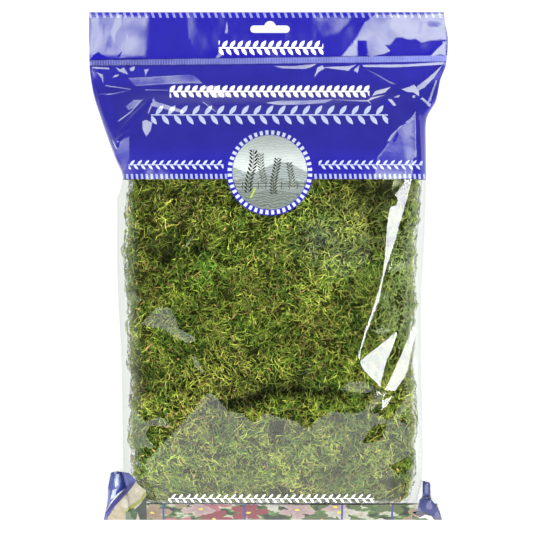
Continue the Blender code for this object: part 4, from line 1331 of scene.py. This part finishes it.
def film_relief(x, y):
    """The creases and gathers of the film, as height over its smooth form."""
    rise = np.zeros_like(x)
    for x0, y0, x1, y1, tall, wide in CREASES:
        (ax, ay), (bx, by) = facet_corners(((x0, y0), (x1, y1)))
        span = math.hypot(bx - ax, by - ay)
        along = ((x - ax) * (bx - ax) + (y - ay) * (by - ay)) / span
        off = ((x - ax) * (by - ay) - (y - ay) * (bx - ax)) / span
        taper = np.clip(along / span, 0, 1) * np.clip(1 - along / span, 0, 1) * 4
        rise += tall * np.sqrt(taper) * np.exp(-((off / wide) ** 2))
    for px, py, wide, tall, high in BULGES:
        ((bx, by),) = facet_corners(((px, py),))
        reach = ((x - bx) / (wide * PIXEL)) ** 2 + ((y - by) / (tall * PIXEL)) ** 2
        rise += high * np.exp(-(reach**2))
    fan = x + 0.004 * np.sin(x / 0.019) + (0.1620 - y) * x * 0.9
    under_seal = SEAL_FOOT - y
    below_seal = np.clip(under_seal / 0.004, 0, 1) * np.exp(-np.clip(under_seal, 0, 1) / GATHER_LENGTH)
    rise += GATHER_HEIGHT * below_seal * np.sin(fan / GATHER_PITCH * 2 * math.pi) ** 2
    points = np.column_stack([x, y])
    in_header = np.clip((y - SEAL_TOP) / 0.004, 0, 1)
    rise += in_header * HEADER_WAVE * (waves(points, 0.030, 41) + 0.4 * waves(points, 0.012, 42))
    loose = np.clip((0.125 - np.abs(x)) / 0.01, 0, 1) * (1 - in_header)
    rise += loose * SLACK_WAVE * waves(points, 0.020, 43)
    return rise


outlines = [facet_corners(pixels) for _, _, _, *pixels in FACETS]
patch_outlines = [facet_corners(pixels) for _, *pixels in PATCHES]
flat, faces = film_mesh(ROW_STEP, FILM_COLUMNS, True, outlines + patch_outlines)
x, y = flat.T


def front_height(x, y):
    """Height of the front film with its creases, closed onto the back film at the side folds."""
    rise = np.maximum(0.0, film_relief(x, y)) * (1 - to_fold(x, y))
    return film_height(x, y, True) + rise - FILM_GAP / 2 * to_fold(x, y)


height = front_height(x, y)
front = lay_film("bag_front", flat, height, faces, printed_film, "bag_front_film")
mesh = front.data
normals = np.empty(len(mesh.loops) * 3)
mesh.corner_normals.foreach_get("vector", normals)
normals = normals.reshape(-1, 3, 3)
corners = flat[faces]
centres = corners.mean(1)
SLOPE_STEP = 0.0004
across_x, along_y = flat.T
slope_x = (front_height(across_x + SLOPE_STEP, along_y) - front_height(across_x - SLOPE_STEP, along_y))
slope_y = (front_height(across_x, along_y + SLOPE_STEP) - front_height(across_x, along_y - SLOPE_STEP))
smooth = np.column_stack([-slope_x, -slope_y, np.full_like(slope_x, 2 * SLOPE_STEP)])
smooth /= np.linalg.norm(smooth, axis=1, keepdims=True)
side_left, side_right = along_bag(LEFT_EDGE, along_y), along_bag(RIGHT_EDGE, along_y)
INNER_SHARE = 0.97
EDGE_MARGIN = 0.001
inner = np.abs(2 * across_x - side_left - side_right) < INNER_SHARE * (side_right - side_left)
inner &= np.abs(along_y) < TOP_EDGE - EDGE_MARGIN
normals = np.where(inner[faces][..., None], smooth[faces], normals)

# Each facet's corners lean its own way, with a little unrest, over the film's smooth form
TAUT_UNREST = 0.008
HEADER_UNREST = 0.014
HAZE_STEEPEST = 0.45
CALM_STEEPEST = 0.03


def from_border(points, corners):
    """Each point's distance to the nearest side of a closed outline."""
    nearest = np.full(points.shape[:-1], 1.0)
    for start, end in zip(corners, corners[1:] + corners[:1]):
        start, side = np.array(start), np.array(end) - start
        share = np.clip((points - start) @ side / (side @ side), 0, 1)
        nearest = np.minimum(nearest, np.linalg.norm(points - start - share[..., None] * side, axis=-1))
    return nearest


unrest = np.stack([waves(corners, 0.014, 51), waves(corners, 0.014, 52)], -1)
for (kind, bright, soft, *_), outline in zip(FACETS, outlines):
    chosen = within(centres[:, 0], centres[:, 1], outline)
    azimuth, dull_tilt, bright_tilt = (math.radians(v) for v in LEANS.get(kind, (0.0, 0.0, 0.0)))
    tilt = dull_tilt + bright * (bright_tilt - dull_tilt)
    lean = np.array([math.cos(azimuth), math.sin(azimuth)]) * math.sin(tilt)
    shift = unrest[chosen] * (TAUT_UNREST if kind in ("haze", "streak", "flat") else HEADER_UNREST)
    level = np.concatenate([lean + shift, np.ones((*shift.shape[:2], 1))], -1)
    level /= np.linalg.norm(level, axis=-1, keepdims=True)
    before = normals[chosen]
    if soft:
        hold = np.clip(from_border(corners[chosen], outline) / (soft / 1000), 0, 1)[..., None]
        level = before * (1 - hold) + level * hold
    if kind == "calm":
        level = before.copy()
        level[..., 1] = np.maximum(level[..., 1], -CALM_STEEPEST)
        level /= np.linalg.norm(level, axis=-1, keepdims=True)
    if kind == "haze":
        steep = before.copy()
        steep[..., 1] = np.maximum(steep[..., 1], -HAZE_STEEPEST)
        steep /= np.linalg.norm(steep, axis=-1, keepdims=True)
        level = np.where((steep[..., 1] < lean[1])[..., None], steep, level)
    normals[chosen] = level
mesh.normals_split_custom_set(normals.reshape(-1, 3).tolist())
painted = np.zeros((len(faces), 3, 4))
for (levels, *_), outline in zip(PATCHES, patch_outlines):
    painted[within(centres[:, 0], centres[:, 1], outline)] = (*srgb(*levels), 1.0)
stored = mesh.color_attributes.new("patch", "FLOAT_COLOR", "CORNER")
stored.data.foreach_set("color", painted.ravel())

# The bag's back: the same film, printed with a plain blue band at the header and at the foot. It is
# welded to the front along the header and the foot, and folds over into it at both sides.
BACK_SEAL_Y = 0.1644
back_film, tree, shader, output = new_material("back_film")
place_in = tree.nodes.new("ShaderNodeTexCoord").outputs["Object"]
spot = step(tree, "ShaderNodeSeparateXYZ", place_in)
x_in, y_in = spot.outputs[0], spot.outputs[1]
mottle = step(tree, "ShaderNodeTexNoise", place_in, None, 60.0, 5.0)
in_header = calc(tree, "GREATER_THAN", y_in, HEADER_FOOT)
band_ink = any_of(tree, in_header, calc(tree, "LESS_THAN", y_in, FOOT_STRIP_TOP))
blue = tint(tree, mottle.outputs["Fac"], srgb(46, 44, 150), srgb(58, 55, 172))
up_hem = calc(tree, "SUBTRACT", y_in, HEM_Y)
hem = use_group(tree, stitches, x_in, up_hem, HEM_PITCH, 0.47, 0.0040, 0.12)
up_top_hem = calc(tree, "SUBTRACT", y_in, TOP_HEM_Y)
top_hem = use_group(tree, stitches, x_in, up_top_hem, TOP_HEM_PITCH, 0.46, 0.0046, 0.35)
up_ribs = calc(tree, "SUBTRACT", y_in, BACK_SEAL_Y)
ribs = use_group(tree, stitches, x_in, up_ribs, SEAL_RIB_PITCH, 0.5, 0.0048, 0.0)
# The back seal's ribs are lightened as painted highlights; the hems' stitches are print
marks = any_of(tree, hem.outputs[0], top_hem.outputs[0], calc(tree, "MULTIPLY", ribs.outputs[0], 0.4))
inked_colour = tint(tree, marks, blue, srgb(214, 218, 246))
tree.links.new(tint(tree, band_ink, (0.97, 0.99, 0.98), inked_colour), shader.inputs["Base Color"])
tree.links.new(calc(tree, "SUBTRACT", 1.0, band_ink), shader.inputs["Metallic"])
tree.links.new(calc(tree, "MULTIPLY_ADD", band_ink, 0.06, 0.08), shader.inputs["Roughness"])
shader.inputs["IOR"].default_value = 1.6
ripple = step(tree, "ShaderNodeTexNoise", place_in, None, 45.0, 3.0)
slack = step(tree, "ShaderNodeBump")
slack.inputs["Strength"].default_value = 0.6
slack.inputs["Distance"].default_value = 0.0010
tree.links.new(ripple.outputs["Fac"], slack.inputs["Height"])
tree.links.new(slack.outputs["Normal"], shader.inputs["Normal"])
see_through(tree, shader, output, band_ink)

BACK_ROW_STEP = 0.0036  # coarser than the front's, because it has no facets
BACK_COLUMNS = 80
flat, faces = film_mesh(BACK_ROW_STEP, BACK_COLUMNS, False, [])
x, y = flat.T
back_height = film_height(x, y, False) + FILM_GAP / 2 * to_fold(x, y)
lay_film("bag_back", flat, back_height, faces, back_film, "bag_back_film")

# The setting: a plain pale table that glows a little, under a dark zenith. A soft low light stands all
# round, and one panel and three soft glows stand where the film's facets mirror them: the long streak,
# the sheen over the foot, and the pale corners of the header.
floor_paint, tree, shader, output = new_material("floor_paint")
place_in = tree.nodes.new("ShaderNodeTexCoord").outputs["Object"]
speckle = step(tree, "ShaderNodeTexNoise", place_in, None, 3.0, 2.0)
pale = tint(tree, speckle.outputs["Fac"], (0.13, 0.13, 0.13), (0.16, 0.16, 0.16))
tree.links.new(pale, shader.inputs["Base Color"])
shader.inputs["Roughness"].default_value = 0.9
shader.inputs["Emission Color"].default_value = (1.0, 1.0, 1.0, 1.0)
shader.inputs["Emission Strength"].default_value = 0.88
floor_mesh = bpy.data.meshes.new("floor")
FLOOR = 4.0
floor_corners = [(-FLOOR, -FLOOR, 0), (FLOOR, -FLOOR, 0), (FLOOR, FLOOR, 0), (-FLOOR, FLOOR, 0)]
floor_mesh.from_pydata(floor_corners, [], [(0, 1, 2, 3)])
floor_mesh.materials.append(floor_paint)
floor = bpy.data.objects.new("floor", floor_mesh)
bpy.context.scene.collection.objects.link(floor)

LIGHT_DISTANCE = 4.0
STREAK_PANEL = (-35.0, 23.0, 30.0, 17.0, 26.5)  # azimuth, fall from the zenith, width, height, brightness
azimuth, fall, wide, tall, glow = STREAK_PANEL
lamp = bpy.data.lights.new("streak_panel", "AREA")
lamp.shape = "RECTANGLE"
lamp.color = (0.91, 0.885, 1.0)
lamp.size = 2 * LIGHT_DISTANCE * math.sin(math.radians(fall)) * math.sin(math.radians(wide / 2))
lamp.size_y = 2 * LIGHT_DISTANCE * math.tan(math.radians(tall / 2))
lamp.energy = glow * math.pi * lamp.size * lamp.size_y


def direction(azimuth, fall):
    """The way to a point of the sky, from its azimuth and its angle from the zenith in degrees."""
    azimuth, fall = math.radians(azimuth), math.radians(fall)
    return Vector((math.cos(azimuth) * math.sin(fall), math.sin(azimuth) * math.sin(fall), math.cos(fall)))


hung = bpy.data.objects.new("streak_panel", lamp)
hung.location = direction(azimuth, fall) * LIGHT_DISTANCE
hung.rotation_euler = direction(azimuth, fall).to_track_quat("Z", "Y").to_euler()
hung.visible_camera = False
bpy.context.scene.collection.objects.link(hung)

LOW_GLOW = 2.2
FOOT_GLOW = 4.2
HEAD_GLOWS = ((135.0, 22.0, 16.0), (45.0, 22.0, 18.0))  # azimuth, fall from the zenith, brightness
GLOW_RADIUS = 11.0
GLOW_TINT = (0.94, 1.0, 0.62)
world = bpy.data.worlds.new("studio")
world.use_nodes = True
sky = world.node_tree
way = sky.nodes.new("ShaderNodeTexCoord").outputs["Generated"]
sides = step(sky, "ShaderNodeSeparateXYZ", way).outputs
# The low glow starts 23 degrees from the zenith and is full at 37, less towards the header and foot
low = step(sky, "ShaderNodeMapRange", sides[2], 0.80, 0.92, LOW_GLOW, 0.0).outputs[0]
low = calc(sky, "MULTIPLY", low, step(sky, "ShaderNodeMapRange", sides[1], -0.1, 0.4, 1.0, 0.15).outputs[0])
low = calc(sky, "MULTIPLY", low, step(sky, "ShaderNodeMapRange", sides[1], -0.3, 0.0, 0.6, 1.0).outputs[0])
towards_foot = step(sky, "ShaderNodeMapRange", sides[1], -0.26, -0.12, 1.0, 0.0).outputs[0]
off_middle = calc(sky, "ABSOLUTE", sides[0])
in_middle = step(sky, "ShaderNodeMapRange", off_middle, 0.25, 0.45, 1.0, 0.0).outputs[0]
foot_glow = calc(sky, "MULTIPLY", calc(sky, "MULTIPLY", towards_foot, in_middle), FOOT_GLOW)
glow = calc(sky, "MAXIMUM", low, foot_glow)
light = tint(sky, 1.0, (1.0, 1.0, 1.0), glow, "MULTIPLY")
for azimuth, fall, glow in HEAD_GLOWS:
    near = step(sky, "ShaderNodeVectorMath", way, direction(azimuth, fall), operation="DOT_PRODUCT")
    apart = calc(sky, "ARCCOSINE", near.outputs["Value"])
    soft = step(sky, "ShaderNodeMapRange", apart, 0.0, math.radians(GLOW_RADIUS), 1.0, 0.0).outputs[0]
    light = tint(sky, soft, light, tuple(level * glow for level in GLOW_TINT), "ADD")
sky.links.new(light, sky.nodes["Background"].inputs["Color"])
bpy.context.scene.world = world
bpy.context.scene.view_settings.view_transform = "Standard"

# The camera looks straight down from far off, so the bag shows hardly any perspective. The middle of
# the bag's box lies a little off the middle of the picture, as in the photograph.
CAMERA_HEIGHT = 5.0
SENSOR = 36.0
IMAGE_SIZE = 533
camera_data = bpy.data.cameras.new("camera")
camera_data.sensor_width = SENSOR
camera_data.lens = SENSOR * CAMERA_HEIGHT / (IMAGE_SIZE * PIXEL)
camera_data.clip_end = 50.0
camera = bpy.data.objects.new("camera", camera_data)
((camera_x, camera_y),) = facet_corners(((IMAGE_SIZE / 2, IMAGE_SIZE / 2),))
camera.location = (camera_x, camera_y, CAMERA_HEIGHT)
bpy.context.scene.collection.objects.link(camera)
bpy.context.scene.camera = camera
